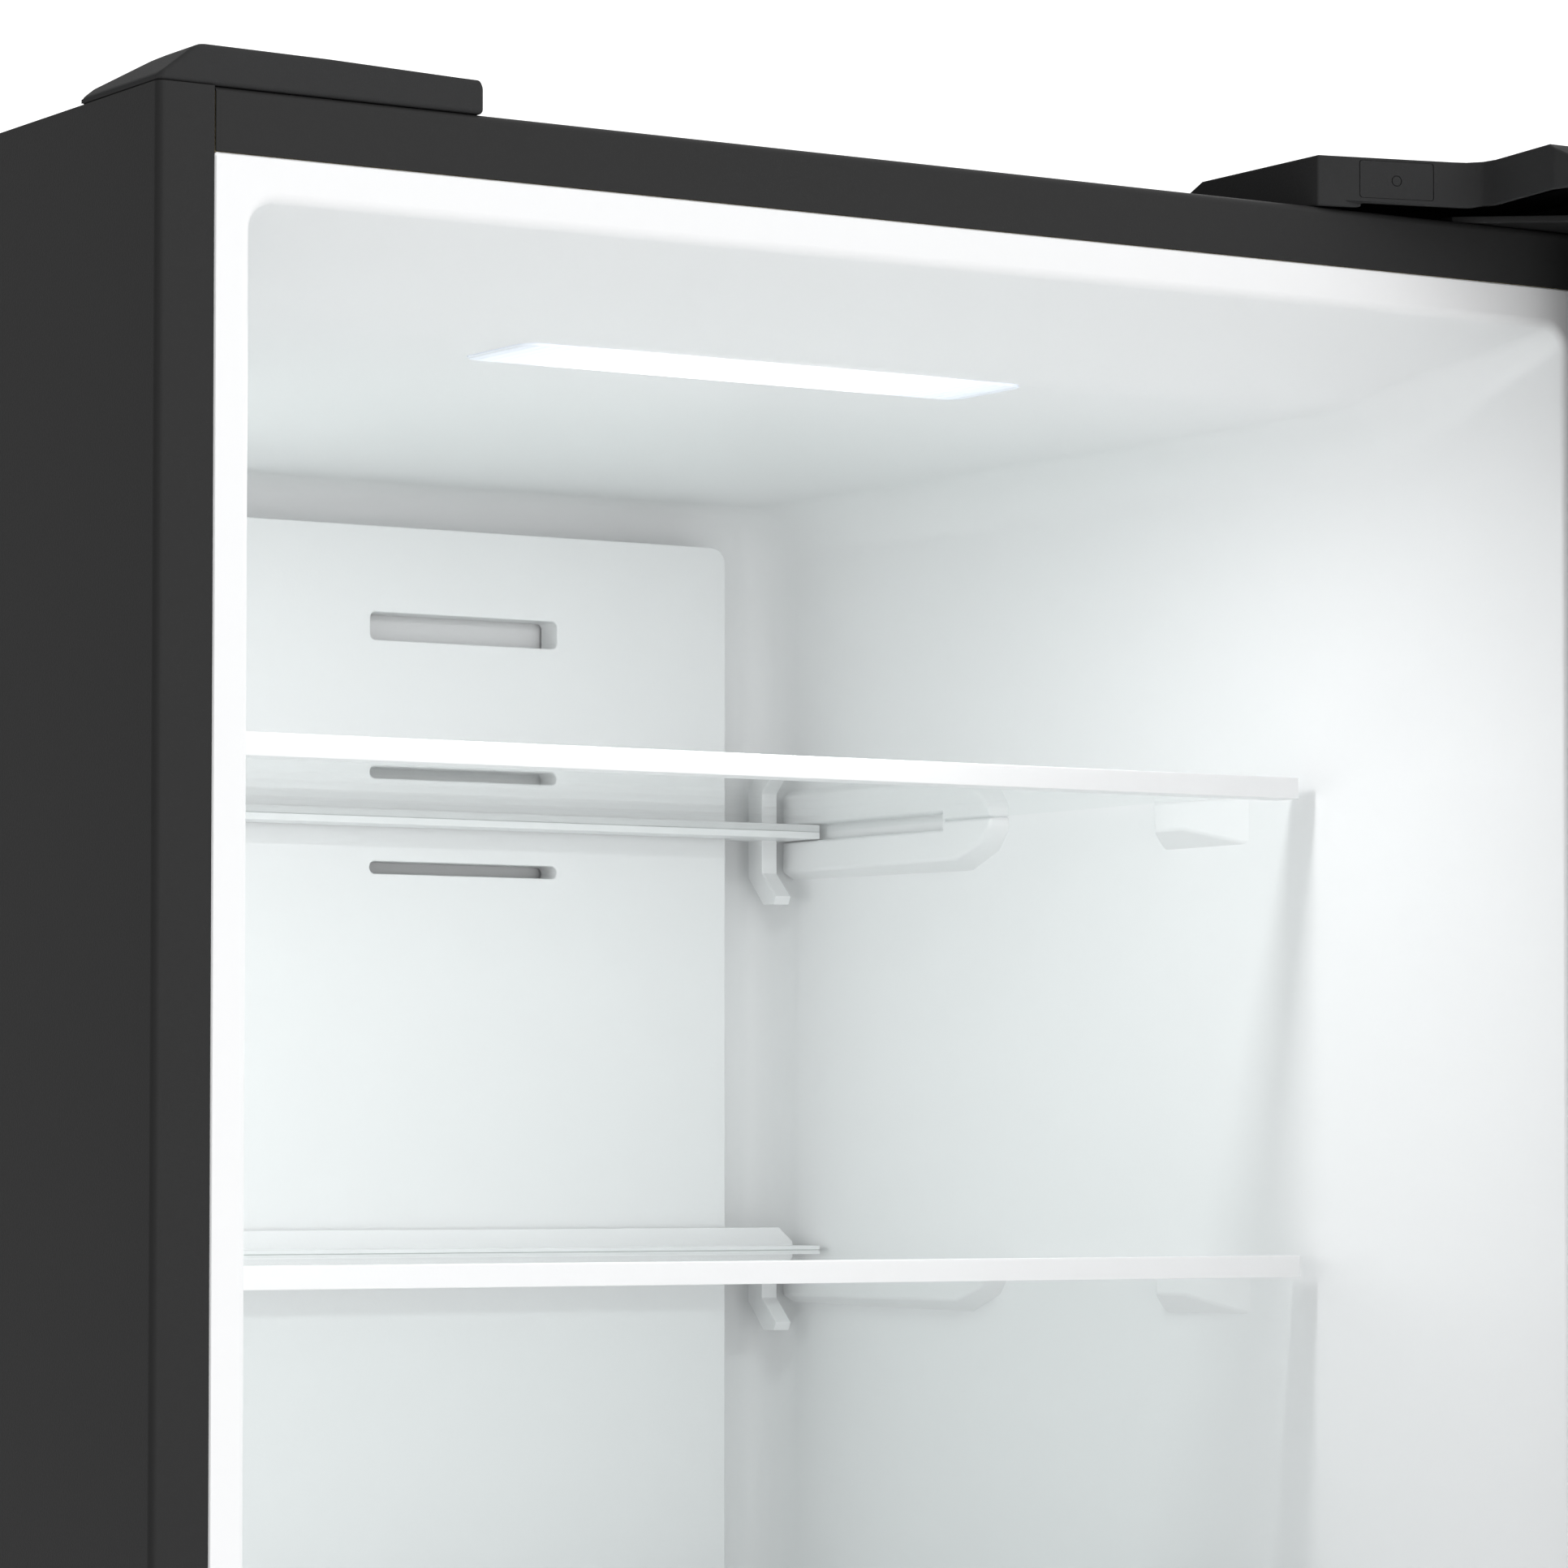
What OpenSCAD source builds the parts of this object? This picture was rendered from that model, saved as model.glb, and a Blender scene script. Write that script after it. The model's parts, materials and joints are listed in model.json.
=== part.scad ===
// Top freezer refrigerator: a foamed steel cabinet with two white liners, glass shelves, two hinged doors,
// two crisper drawers, a fan-fed evaporator behind the freezer's back cover and a compressor at the bottom.
// The origin is on the floor under the middle of the cabinet box. +X is to the right, +Y to the back.

/* [Cabinet] */
// Width across the side panels
cabinet_w = 700; // [640:5:760]
// Depth of the cabinet box, without doors
cabinet_d = 655; // [610:5:720]
// Height of the cabinet box above its underside
cabinet_h = 1660; // [1560:10:1780]
// Gap between the floor and the cabinet box
floor_gap = 30; // [26:1:40]
// Thickness of the steel sheets
sheet_t = 0.6; // [0.5:0.1:1]
// Thickness of the base plate
base_t = 1.5; // [1:0.5:3]
// Width of the folded flange on each side panel
flange_w = 23; // [18:1:26]
// Height of the folded flange on the top panel
top_flange_h = 24; // [20:1:30]
// Radius of the folded outer edges
fold_r = 3; // [2:0.5:5]
// Gap left where folded sheets meet
seam_gap = 0.7; // [0.4:0.1:1.2]

/* [Liners] */
// Thickness of the moulded liners
liner_t = 2; // [1.5:0.5:3]
// Width of the white rim beside an opening
rim_side = 15.3; // [12:0.1:20]
// Width of the white rim above and below an opening
rim_end = 16.5; // [12:0.5:20]
// Height of the freezer opening
freezer_h = 579; // [480:1:640]
// Thickness of the wall between the two compartments
divider_h = 60.5; // [55:0.5:80]
// Height of the fresh food floor above the cabinet's underside
fresh_floor_h = 80; // [70:1:100]
// Depth inside a compartment
inside_d = 606; // [570:1:640]
// How far each side wall leans in from front to back
wall_draft = 11; // [4:0.5:14]
// Corner radius of an opening
opening_r = 10.5; // [6:0.5:16]
// Radius of the back corners
back_r = 22; // [12:1:30]
// Drop of the sloped front part of a ceiling
ceiling_drop = 24; // [10:1:34]
// Depth of the sloped front part of a ceiling
ceiling_run = 120; // [80:1:160]
// Depth of the pocket behind the evaporator cover
pocket_d = 26; // [20:1:30]

/* [Freezer shelves] */
// Height of the upper shelf's glass underside above the freezer floor
upper_shelf_h = 391; // [300:1:420]
// Distance from one freezer shelf down to the next
shelf_pitch = 212; // [160:1:230]
// Thickness of the shelf glass
glass_t = 4; // [3:0.5:5]
// Setback of a freezer shelf's front edge
shelf_setback = 168; // [150:1:200]
// Play between a freezer shelf and both side walls together
shelf_play = 4; // [3:0.5:12]
// Height of the front trim
trim_h = 9.5; // [8:0.5:14]
// Depth of the front trim
trim_d = 16; // [10:1:24]
// How far a side rail stands off the wall
rail_out = 9; // [6:0.5:9]

/* [Evaporator] */
// Width of the evaporator cover
cover_w = 513; // [440:1:530]
// Depth from the cover's face to the back wall
cover_d = 26; // [22:1:34]
// Thickness of the cover's face
cover_t = 2.5; // [2:0.5:4]
// Gap from the ceiling to the top of the cover
cover_top_gap = 22; // [14:1:40]
// Width of an air slot
slot_w = 104; // [80:1:110]
// Distance from the middle to the near end of an air slot
slot_x = 55; // [50:1:80]
// Radius of the fan blades
fan_r = 46; // [40:1:50]

/* [Lamp] */
// Width of the ceiling lamp lens
lamp_w = 246; // [180:1:260]
// Depth of the ceiling lamp lens
lamp_d = 53; // [40:1:60]
// Setback of the lens from the cabinet front
lamp_setback = 126; // [122:1:140]

/* [Doors] */
// Thickness of a door
door_t = 78; // [60:1:85]
// Gap between the cabinet and a closed door
door_gap = 12; // [10:0.5:14]
// Gap between the two doors
doors_apart = 12; // [11:0.5:16]
// Radius of a door's front vertical edges
door_r = 9; // [5:1:14]
// Height of the moulded end caps
cap_h = 14; // [12:1:24]
// Angle at which both doors stand open
door_open = 125; // [0:5:130]
// Setback of the hinge pin from the side of the door
pin_inset = 18; // [17:0.5:19]
// Distance from the cabinet front to the hinge pin
pin_out = 40; // [38:0.5:42]
// Radius of the hinge pins
pin_r = 6; // [5:0.5:7]
// Radial clearance of a pin or stem in its hole
pin_fit = 0.05; // [0.02:0.01:0.1]
// Width of the magnetic seal
seal_w = 16; // [12:1:16]
// Depth of the raised ridge on a door liner
ridge_d = 40; // [30:1:45]
// Width of the raised ridge on a door liner
ridge_w = 38; // [30:1:44]
// Depth of the door bins
bin_d = 82; // [60:1:84]
// Height of the door bins
bin_h = 88; // [70:1:110]
// Wall thickness of the bins and crispers
bin_t = 2.5; // [2:0.5:3]
// Height of the lowest bin above the compartment floor
bin_low = 60; // [50:5:100]
// Distance from the highest bin's underside to the compartment ceiling
bin_head = 260; // [200:5:320]

/* [Fresh food] */
// Height of the crispers
crisper_h = 176; // [140:1:180]
// Setback of the crispers from the cabinet front
crisper_setback = 84; // [80:1:100]
// Gap from the side wall to a crisper's outer side
crisper_gap = 32.7; // [32:0.1:60]
// How far a crisper pulls out
crisper_travel = 225; // [150:5:230]
// Setback of the fresh food shelves
fresh_setback = 150; // [130:1:180]
// Height kept clear above the upper fresh food shelf
fresh_head_room = 270; // [200:5:340]

/* [Machine compartment] */
// Depth of the compressor compartment
machine_d = 245; // [230:1:250]
// Height of the compressor compartment
machine_h = 225; // [215:1:235]
// Radius of the compressor shell
compressor_r = 72; // [60:1:75]
// Radius of a rear roller
roller_r = 22; // [18:1:24]
// Radius of a levelling foot's sole
sole_r = 20; // [16:1:24]

/* [Hidden] */
$fn = 48;

steel_dark = [0.18, 0.18, 0.19];
white = [0.93, 0.94, 0.95];
clear = [0.80, 0.90, 0.92, 0.4];
grey = [0.55, 0.56, 0.58];

// Places worked out from the sizes above. Y runs back from the cabinet front inside from_front().
half_w = cabinet_w / 2;
top_z = floor_gap + cabinet_h;
opening_half = half_w - flange_w - rim_side;
freezer_top = top_z - top_flange_h - rim_end;
freezer_floor = freezer_top - freezer_h;
fresh_top = freezer_floor - divider_h;
fresh_floor = floor_gap + fresh_floor_h;
ceiling_z = freezer_top - ceiling_drop;
machine_y = cabinet_d - machine_d;
machine_top = floor_gap + machine_h;
step_wall = 34;
step_y = machine_y - step_wall;
step_z = machine_top + step_wall;
inside_half = opening_half - wall_draft;
nudge = 0.3;
cut = 1;

module from_front() { translate([0, -cabinet_d / 2, 0]) children(); }

// Extrudes a Y-Z outline along X, centred
module along_x(w) { rotate([90, 0, 90]) linear_extrude(w, center = true) children(); }

// Extrudes an X-Z outline back along Y, starting at y = 0
module along_y(d) { translate([0, d, 0]) rotate([90, 0, 0]) linear_extrude(d) children(); }

module centred_bar(w, d, h) { translate([-w / 2, 0, 0]) cube([w, d, h]); }

module both_sides() { children(); mirror([1, 0, 0]) children(); }

// Rectangle with its lower left corner at the origin and round corners
module round_rect(w, h, r) {
    translate([r, 0]) square([w - 2 * r, h]);
    translate([0, r]) square([w, h - 2 * r]);
    for (x = [r, w - r], y = [r, h - r]) translate([x, y]) circle(r);
}

module centred_round_rect(w, h, r) { translate([-w / 2, -h / 2]) round_rect(w, h, r); }

// Block with its outer corner at the origin, rounded there only
module corner_block(w, d, r) {
    translate([r, 0]) square([w - r, d]);
    translate([0, r]) square([w, d - r]);
    translate([r, r]) circle(r);
}

/* ---- steel cabinet ---- */

module side_panel() {
    color(steel_dark) from_front() translate([-half_w, 0, floor_gap]) linear_extrude(cabinet_h) difference() {
        corner_block(flange_w, cabinet_d, fold_r);
        translate([sheet_t, sheet_t]) corner_block(flange_w, cabinet_d, fold_r - sheet_t);
    }
}

module side_panel_left() { side_panel(); }
module side_panel_right() { mirror([1, 0, 0]) side_panel(); }

module top_panel() {
    inner_half = half_w - sheet_t - nudge;
    color(steel_dark) from_front() union() {
        along_x(2 * (half_w - flange_w - seam_gap)) translate([0, top_z - top_flange_h]) difference() {
            mirror([0, 1]) translate([0, -top_flange_h]) corner_block(cabinet_d, top_flange_h, fold_r);
            translate([sheet_t, -sheet_t]) mirror([0, 1]) translate([0, -top_flange_h])
                corner_block(cabinet_d, top_flange_h, fold_r - sheet_t);
        }
        translate([-inner_half, fold_r, top_z - sheet_t])
            cube([2 * inner_half, cabinet_d - fold_r - sheet_t - nudge, sheet_t]);
    }
}

module back_panel() {
    color(grey) from_front()
        translate([-half_w + sheet_t + nudge, cabinet_d - sheet_t, machine_top + sheet_t])
        cube([cabinet_w - 2 * (sheet_t + nudge), sheet_t, top_z - machine_top - 2 * sheet_t - nudge]);
}

foot_x = half_w - 55;
foot_y = 60;
stem_r = 5;
stem_top = 34;
roller_x = half_w - 60;
roller_y = cabinet_d - 45;
roller_w = 18;
axle_r = 4;
recess = 4;
ear_t = 2;
compressor_x = 150;
compressor_y = machine_y + machine_d / 2 + 4;
grommet_r = 11;
grommet_h = 14;
stud_dx = 80;
stud_dy = 48;
stud_hole_r = 7;
can_edge = 14;
can_h = 150;
can_seam = 72;

// Folded plate: front upstand, floor, wall and roof of the compressor compartment, and roller ears
module base_plate() {
    inner = cabinet_w - 2 * fold_r;
    front_top = fresh_floor - rim_end - nudge;
    color(steel_dark) from_front() difference() {
        union() {
            along_x(inner) polygon([
                [sheet_t + nudge, floor_gap], [cabinet_d - nudge, floor_gap],
                [cabinet_d - nudge, floor_gap + base_t], [machine_y, floor_gap + base_t],
                [machine_y, machine_top - base_t], [cabinet_d - nudge, machine_top - base_t],
                [cabinet_d - nudge, machine_top], [machine_y - base_t, machine_top],
                [machine_y - base_t, floor_gap + base_t], [sheet_t + nudge + base_t, floor_gap + base_t],
                [sheet_t + nudge + base_t, front_top], [sheet_t + nudge, front_top]]);
            both_sides() for (x = [roller_x - roller_w / 2 - ear_t - nudge, roller_x + roller_w / 2 + nudge])
                translate([x, roller_y - 14, roller_r - 9])
                cube([ear_t, 28, floor_gap - roller_r + 9 + base_t / 2]);
        }
        both_sides() {
            translate([foot_x, foot_y, floor_gap - cut]) cylinder(r = stem_r + pin_fit, h = base_t + 2 * cut);
            translate([roller_x - roller_w / 2 - nudge, roller_y - roller_r - 2, floor_gap - cut])
                cube([roller_w + 2 * nudge, 2 * roller_r + 4, base_t + 2 * cut]);
            translate([roller_x, roller_y, roller_r]) rotate([0, 90, 0])
                cylinder(r = axle_r + pin_fit, h = roller_w + 40, center = true);
        }
        translate([-210, machine_y + 30, floor_gap - cut]) for (i = [0:5])
            translate([i * 30, 0, 0]) cube([14, 120, base_t + 2 * cut]);
    }
}

/* ---- liners and foam ---- */

// Plan of a compartment with leaning sides and round back corners. grow thickens it all round.
module compartment_plan(grow, depth, start) {
    r = back_r + grow;
    d = depth + grow;
    lean = wall_draft / inside_d;
    slant = sqrt(1 + lean * lean);
    half_at_0 = opening_half + grow * slant;
    corner_x = half_at_0 - lean * (d - r) - r * slant;
    touch = [corner_x + r / slant, d - r + r * lean / slant];
    polygon([
        [half_at_0 - lean * start, start], touch, [corner_x, d - r], [corner_x, d],
        [-corner_x, d], [-corner_x, d - r], [-touch[0], touch[1]], [-half_at_0 + lean * start, start]]);
    for (x = [-corner_x, corner_x]) translate([x, d - r]) circle(r);
}

// Front outline of an opening
module opening_outline(low, high, grow) {
    translate([-opening_half - grow, low - grow])
        round_rect(2 * (opening_half + grow), high - low + 2 * grow, opening_r + grow);
}

module freezer_space(grow = 0, start = 0) {
    intersection() {
        translate([0, 0, freezer_floor - grow - cut])
            linear_extrude(freezer_h + 2 * grow + 2 * cut) compartment_plan(grow, inside_d, start);
        translate([0, start, 0]) along_y(inside_d - start + grow)
            opening_outline(freezer_floor, freezer_top, grow);
        along_x(cabinet_w) polygon([
            [start, freezer_floor - grow], [start, freezer_top + grow], [0, freezer_top + grow],
            [ceiling_run, ceiling_z + grow], [inside_d + grow, ceiling_z + grow],
            [inside_d + grow, freezer_floor - grow]]);
    }
}

module fresh_space(grow = 0, start = 0) {
    intersection() {
        translate([0, 0, fresh_floor - grow - cut])
            linear_extrude(fresh_top - fresh_floor + 2 * grow + 2 * cut)
            compartment_plan(grow, inside_d, start);
        translate([0, start, 0]) along_y(inside_d - start + grow)
            opening_outline(fresh_floor, fresh_top, grow);
        along_x(cabinet_w) polygon([
            [start, fresh_floor - grow], [start, fresh_top + grow], [inside_d + grow, fresh_top + grow],
            [inside_d + grow, step_z - grow], [step_y + grow, step_z - grow],
            [step_y + grow, fresh_floor - grow]]);
    }
}

pocket_half = cover_w / 2 - 24;
pocket_low = freezer_floor + 24;
pocket_high = ceiling_z - cover_top_gap - 14;

// Space behind the evaporator cover, sunk into the back wall
module pocket_space(grow = 0) {
    translate([-pocket_half - grow, inside_d - cut, pocket_low - grow])
        cube([2 * (pocket_half + grow), pocket_d + grow + cut, pocket_high - pocket_low + 2 * grow]);
}

lamp_pocket_h = 14;
module lamp_hole(grow = 0, high = 0) {
    translate([0, lamp_setback + lamp_d / 2, ceiling_z - cut]) linear_extrude(high + cut)
        centred_round_rect(lamp_w + 2 * grow, lamp_d + 2 * grow, 8 + grow);
}

module rim(low, high) {
    along_y(liner_t) translate([-opening_half - rim_side + nudge, low - rim_end + nudge])
        square([2 * (opening_half + rim_side - nudge), high - low + 2 * (rim_end - nudge)]);
}

// Where the side wall's face is at a depth y
function wall_x(y) = opening_half - wall_draft * y / inside_d;
rail_end = inside_d - 18;
rail_step = rail_end - 143;
rail_start = rail_end - 187;
rail_drop = 4;
rail_h = 25;
boss_start = shelf_setback + 44;
boss_end = boss_start + 68;
boss_h = 22;
shelf_w = 2 * wall_x(rail_end) - shelf_play;

// Side rail at the back and its boss at the front, which carry one shelf with its underside at z
module shelf_supports(z) {
    face = wall_x(rail_end) - rail_out + 3;
    both_sides() {
        intersection() {
            translate([(face + wall_x(rail_start) + liner_t / 2) / 2, 0, z])
                along_x(wall_x(rail_start) + liner_t / 2 - face) polygon([
                    [rail_start, 0], [rail_step, 0], [rail_step, -rail_drop], [rail_end, -rail_drop],
                    [rail_end, -rail_h], [rail_start + 30, -rail_h], [rail_start + 8, -16], [rail_start, -6]]);
            translate([0, rail_start - cut, z]) along_y(rail_end - rail_start + 2 * cut)
                polygon([[face, cut], [face, 7 - rail_h], [face + 20, -rail_h - cut], [face + 20, cut]]);
        }
        intersection() {
            translate([0, 0, z - boss_h]) linear_extrude(boss_h) polygon([
                [wall_x(boss_start) + liner_t / 2, boss_start], [wall_x(boss_end) - rail_out, boss_end - 26],
                [wall_x(boss_end) - rail_out, boss_end - 4], [wall_x(boss_end) - rail_out + 4, boss_end],
                [wall_x(boss_end) + liner_t / 2, boss_end]]);
            translate([0, boss_start - cut, z]) along_y(boss_end - boss_start + 2 * cut) polygon([
                [wall_x(boss_end) - rail_out - cut, 0], [wall_x(boss_end) - rail_out - cut, 9 - boss_h],
                [wall_x(boss_start) + liner_t, -boss_h], [wall_x(boss_start) + liner_t, 0]]);
        }
    }
}

upper_shelf_z = freezer_floor + upper_shelf_h;
lower_shelf_z = upper_shelf_z - shelf_pitch;

module freezer_liner() {
    color(white) from_front() difference() {
        union() {
            difference() {
                union() {
                    freezer_space(liner_t);
                    rim(freezer_floor, freezer_top);
                    pocket_space(liner_t);
                }
                freezer_space(0, -cut);
                pocket_space();
            }
            intersection() {
                freezer_space(liner_t / 2);
                union() {
                    shelf_supports(upper_shelf_z);
                    shelf_supports(lower_shelf_z);
                }
            }
        }
        lamp_hole(0, lamp_pocket_h);
    }
}

lid_z = fresh_floor + crisper_h + 24;
fresh_shelf_z = [(lid_z + fresh_top - fresh_head_room) / 2, fresh_top - fresh_head_room];
ledge_out = 8;
ledge_h = 10;
lid_t = 6;
lid_edge = 24;
trim_under = 3;

// Ledges along the fresh food side walls carry the shelves and the crisper lid
module fresh_ledges() {
    both_sides() for (z = concat([lid_z - lid_t], [for (shelf = fresh_shelf_z) shelf - trim_under])) {
        back = z < lid_z ? step_y : inside_d - back_r;
        translate([0, fresh_setback, z - ledge_h]) linear_extrude(ledge_h) polygon([
            [wall_x(fresh_setback) + liner_t / 2, 0], [inside_half - ledge_out, 12],
            [inside_half - ledge_out, back - fresh_setback],
            [wall_x(back) + liner_t / 2, back - fresh_setback]]);
    }
}

module fresh_liner() {
    color(white) from_front() union() {
        difference() {
            union() {
                fresh_space(liner_t);
                rim(fresh_floor, fresh_top);
            }
            fresh_space(0, -cut);
        }
        fresh_ledges();
    }
}

module cabinet_foam() {
    low = floor_gap + base_t;
    color([0.93, 0.88, 0.68]) from_front() difference() {
        translate([-half_w + sheet_t, fold_r, low])
            cube([cabinet_w - 2 * sheet_t, cabinet_d - sheet_t - fold_r, top_z - sheet_t - low]);
        translate([-half_w, machine_y - base_t, 0]) cube([cabinet_w, cabinet_d, machine_top]);
        freezer_space(liner_t);
        pocket_space(liner_t);
        fresh_space(liner_t);
        lamp_hole(nudge, lamp_pocket_h);
        both_sides() translate([foot_x, foot_y, 0]) cylinder(r = stem_r + 3, h = floor_gap + stem_top);
        cube([cabinet_w, 4 * liner_t, 2 * fresh_floor - 2 * rim_end], center = true);
    }
}

// Dark strip between the two openings, screwed to the middle hinge
module divider_rail() {
    low = fresh_top + rim_end;
    color(steel_dark) from_front()
        translate([-half_w + flange_w + seam_gap, 0, low]) cube([2 * (half_w - flange_w - seam_gap), liner_t,
            freezer_floor - rim_end - low]);
}

/* ---- freezer fittings ---- */

cover_face = inside_d - cover_d;
cover_top = ceiling_z - cover_top_gap;
cover_low = freezer_floor + 6;
slot_rows = [[upper_shelf_z + 93.5, 13.4], [upper_shelf_z - 23, 6]];

module slot_outline(h) { translate([slot_x, -h / 2]) round_rect(slot_w, h, min(3, h / 2 - 0.1)); }

// Shallow tray over the evaporator with collared air slots and a return grille at the bottom
module evaporator_cover() {
    h = cover_top - cover_low;
    color(white) from_front() difference() {
        union() {
            difference() {
                translate([0, cover_face, cover_low + h / 2]) along_y(cover_d)
                    centred_round_rect(cover_w, h, 8);
                translate([0, cover_face + cover_t, cover_low + h / 2]) along_y(cover_d)
                    centred_round_rect(cover_w - 2 * cover_t, h - 2 * cover_t, 8 - cover_t);
            }
            both_sides() for (row = slot_rows) translate([slot_x - 2, cover_face, row[0] - row[1] / 2 - 2])
                cube([slot_w + 4, 16, row[1] + 4]);
        }
        both_sides() for (row = slot_rows) translate([0, cover_face - cut, row[0]])
            along_y(cover_d) slot_outline(row[1]);
        for (i = [-7:7]) translate([i * 30, cover_face - cut, cover_low + 16]) along_y(cover_t + 2 * cut)
            centred_round_rect(18, 6, 2.9);
    }
}

coil_y = inside_d + 2;
coil_rows = 6;
tube_r = 4;

// Finned tube bundle in the pocket
module evaporator_coil() {
    half = pocket_half - 20;
    pitch = 30;
    low = pocket_low + 26;
    color(grey) from_front() {
        for (i = [0:coil_rows - 1]) translate([0, coil_y, low + i * pitch]) rotate([0, 90, 0])
            cylinder(r = tube_r, h = 2 * half, center = true);
        for (i = [0:coil_rows - 2]) mirror([i % 2, 0, 0]) translate([half, coil_y, low + (i + 0.5) * pitch])
            rotate([90, 0, 0]) rotate([0, 0, -90]) rotate_extrude(angle = 180) translate([pitch / 2, 0])
            circle(tube_r);
        for (x = [-half + 12:24:half - 12]) translate([x, coil_y - 14, low - 12])
            cube([0.8, 12 + pocket_d, (coil_rows - 1) * pitch + 24]);
    }
}

fan_z = upper_shelf_z + 42;
shaft_r = 2;
motor_face = inside_d;

module fan_motor() {
    color([0.2, 0.2, 0.22]) from_front() translate([0, motor_face, fan_z]) {
        difference() {
            along_y(pocket_d) circle(22);
            translate([0, -cut, 0]) along_y(14) circle(shaft_r + pin_fit);
        }
        for (a = [45:90:315]) rotate([0, a, 0]) translate([20, 6, -3]) cube([30, 3, 6]);
    }
}

module evaporator_fan() {
    color(white) from_front() translate([0, motor_face, fan_z]) union() {
        translate([0, -17, 0]) along_y(16) circle(12);
        translate([0, -4, 0]) along_y(14) circle(shaft_r);
        for (i = [0:4]) rotate([0, 72 * i, 0]) translate([10, -9, 0]) rotate([28, 0, 0])
            translate([0, -1, -14]) intersection() {
                cube([fan_r - 12, 2, 28]);
                translate([-10, 0, 14]) along_y(2) circle(fan_r - 2);
            }
    }
}

lens_proud = 0.8;
module ceiling_lamp_lens() {
    color([1, 1, 1, 0.8]) from_front() translate([0, lamp_setback + lamp_d / 2, ceiling_z]) union() {
        translate([0, 0, -lens_proud]) linear_extrude(2.4) centred_round_rect(lamp_w - 0.6, lamp_d - 0.6, 7.7);
        translate([0, 0, -lens_proud]) linear_extrude(lamp_pocket_h + lens_proud - nudge) difference() {
            centred_round_rect(lamp_w - 0.6, lamp_d - 0.6, 7.7);
            centred_round_rect(lamp_w - 5, lamp_d - 5, 5.5);
        }
    }
}

module shelf_glass(z) {
    color(clear) from_front() translate([-shelf_w / 2 + 1, shelf_setback + 3, z])
        cube([shelf_w - 2, glass_end - shelf_setback - 3, glass_t]);
}

trim_low = 3.5;
back_trim_front = rail_end - 32;
glass_end = rail_end - 12;
glass_fit = 0.02;
hook_x = shelf_w / 2 - 16;
hook_w = 8.8;
hook_h = 36;
upstand_h = 9;

// Front trim and back trim with its upstand and two hooks that stop the shelf tipping
module shelf_trims(z) {
    low = z - trim_low;
    top = low + trim_h;
    end = shelf_w / 2 - 6;
    behind = rail_end + 6;
    side_half = cover_w / 2 + 4;
    color(white) from_front() {
        difference() {
            translate([0, shelf_setback, low]) centred_bar(shelf_w, trim_d, trim_h);
            translate([0, shelf_setback + 3, z]) centred_bar(shelf_w - 2 + glass_fit, trim_d, glass_t);
        }
        difference() {
            union() {
                translate([0, back_trim_front, low]) 
                    centred_bar(shelf_w - 4, cover_face - 2 - back_trim_front, trim_h);
                both_sides() translate([side_half, back_trim_front, low])
                    cube([shelf_w / 2 - 2 - side_half, behind - back_trim_front, trim_h]);
                translate([0, cover_face - 5, 0]) along_y(3) polygon([
                    [-end, top - cut], [-end, top + 2], [8 - end, top + upstand_h], [end - 8, top + upstand_h],
                    [end, top + 2], [end, top - cut]]);
                both_sides() translate([hook_x, 0, z]) along_x(hook_w) polygon([
                    [behind - 13, 0], [behind, 0], [behind, -22], [behind - 14, -hook_h], [behind - 24, -hook_h],
                    [behind - 26, 4 - hook_h], [behind - 13, -20]]);
            }
            translate([0, back_trim_front - cut, z])
                centred_bar(shelf_w - 2 + glass_fit, glass_end - back_trim_front + cut, glass_t);
        }
    }
}

module upper_shelf_glass() { shelf_glass(upper_shelf_z); }
module lower_shelf_glass() { shelf_glass(lower_shelf_z); }
module upper_shelf_trims() { shelf_trims(upper_shelf_z); }
module lower_shelf_trims() { shelf_trims(lower_shelf_z); }

/* ---- hinges ---- */

pin_x = half_w - pin_inset;
hinge_t = 3;
plate_w = 84;
freezer_door_low = (freezer_floor + fresh_top + doors_apart) / 2 + 4;
fresh_door_high = freezer_door_low - doors_apart;
freezer_door_high = top_z - 2;
fresh_door_low = floor_gap + 32;
pin_grip = 11;
screw_r = 2.5;

// Plate outline from the cabinet to the pin, seen from above. reach is how far it runs back.
module hinge_plan(reach, w) {
    translate([pin_x, -pin_out]) circle(12);
    polygon([[pin_x - 12, -pin_out], [pin_x + 12, -pin_out], [pin_x + 12, -4], [pin_x + 10, reach],
        [pin_x + 10 - w, reach], [pin_x + 10 - w, 8]]);
}

top_screws = [[-20, 30], [-20, 62], [-62, 30], [-62, 62]];

module top_hinge() {
    color(grey) from_front() difference() {
        union() {
            translate([0, 0, top_z + nudge]) linear_extrude(hinge_t) hinge_plan(80, plate_w);
            translate([pin_x, -pin_out, freezer_door_high - pin_grip])
                cylinder(r = pin_r, h = pin_grip + top_z - freezer_door_high + 1);
        }
        for (p = top_screws) translate([pin_x + p[0], p[1], top_z - cut]) cylinder(r = screw_r, h = 10);
    }
}

middle_z = fresh_door_high + (doors_apart - hinge_t) / 2;
bottom_z = fresh_door_low - 5;
flange_screws = [-60, -26];
flange_x = pin_x - 74;
flange_len = 64;
module middle_hinge() {
    color(grey) from_front() difference() {
        union() {
            translate([0, 0, middle_z]) linear_extrude(hinge_t) intersection() {
                hinge_plan(4, plate_w);
                translate([0, -200]) square([cabinet_w, 200 - nudge]);
            }
            translate([pin_x, -pin_out, fresh_door_high - pin_grip])
                cylinder(r = pin_r, h = 2 * pin_grip + doors_apart);
            translate([flange_x, -hinge_t - nudge, middle_z - 12]) cube([flange_len, hinge_t, 12 + hinge_t]);
        }
        for (x = flange_screws) translate([pin_x + x, 0, middle_z - 6]) rotate([90, 0, 0])
            cylinder(r = screw_r, h = 20, center = true);
    }
}

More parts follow.
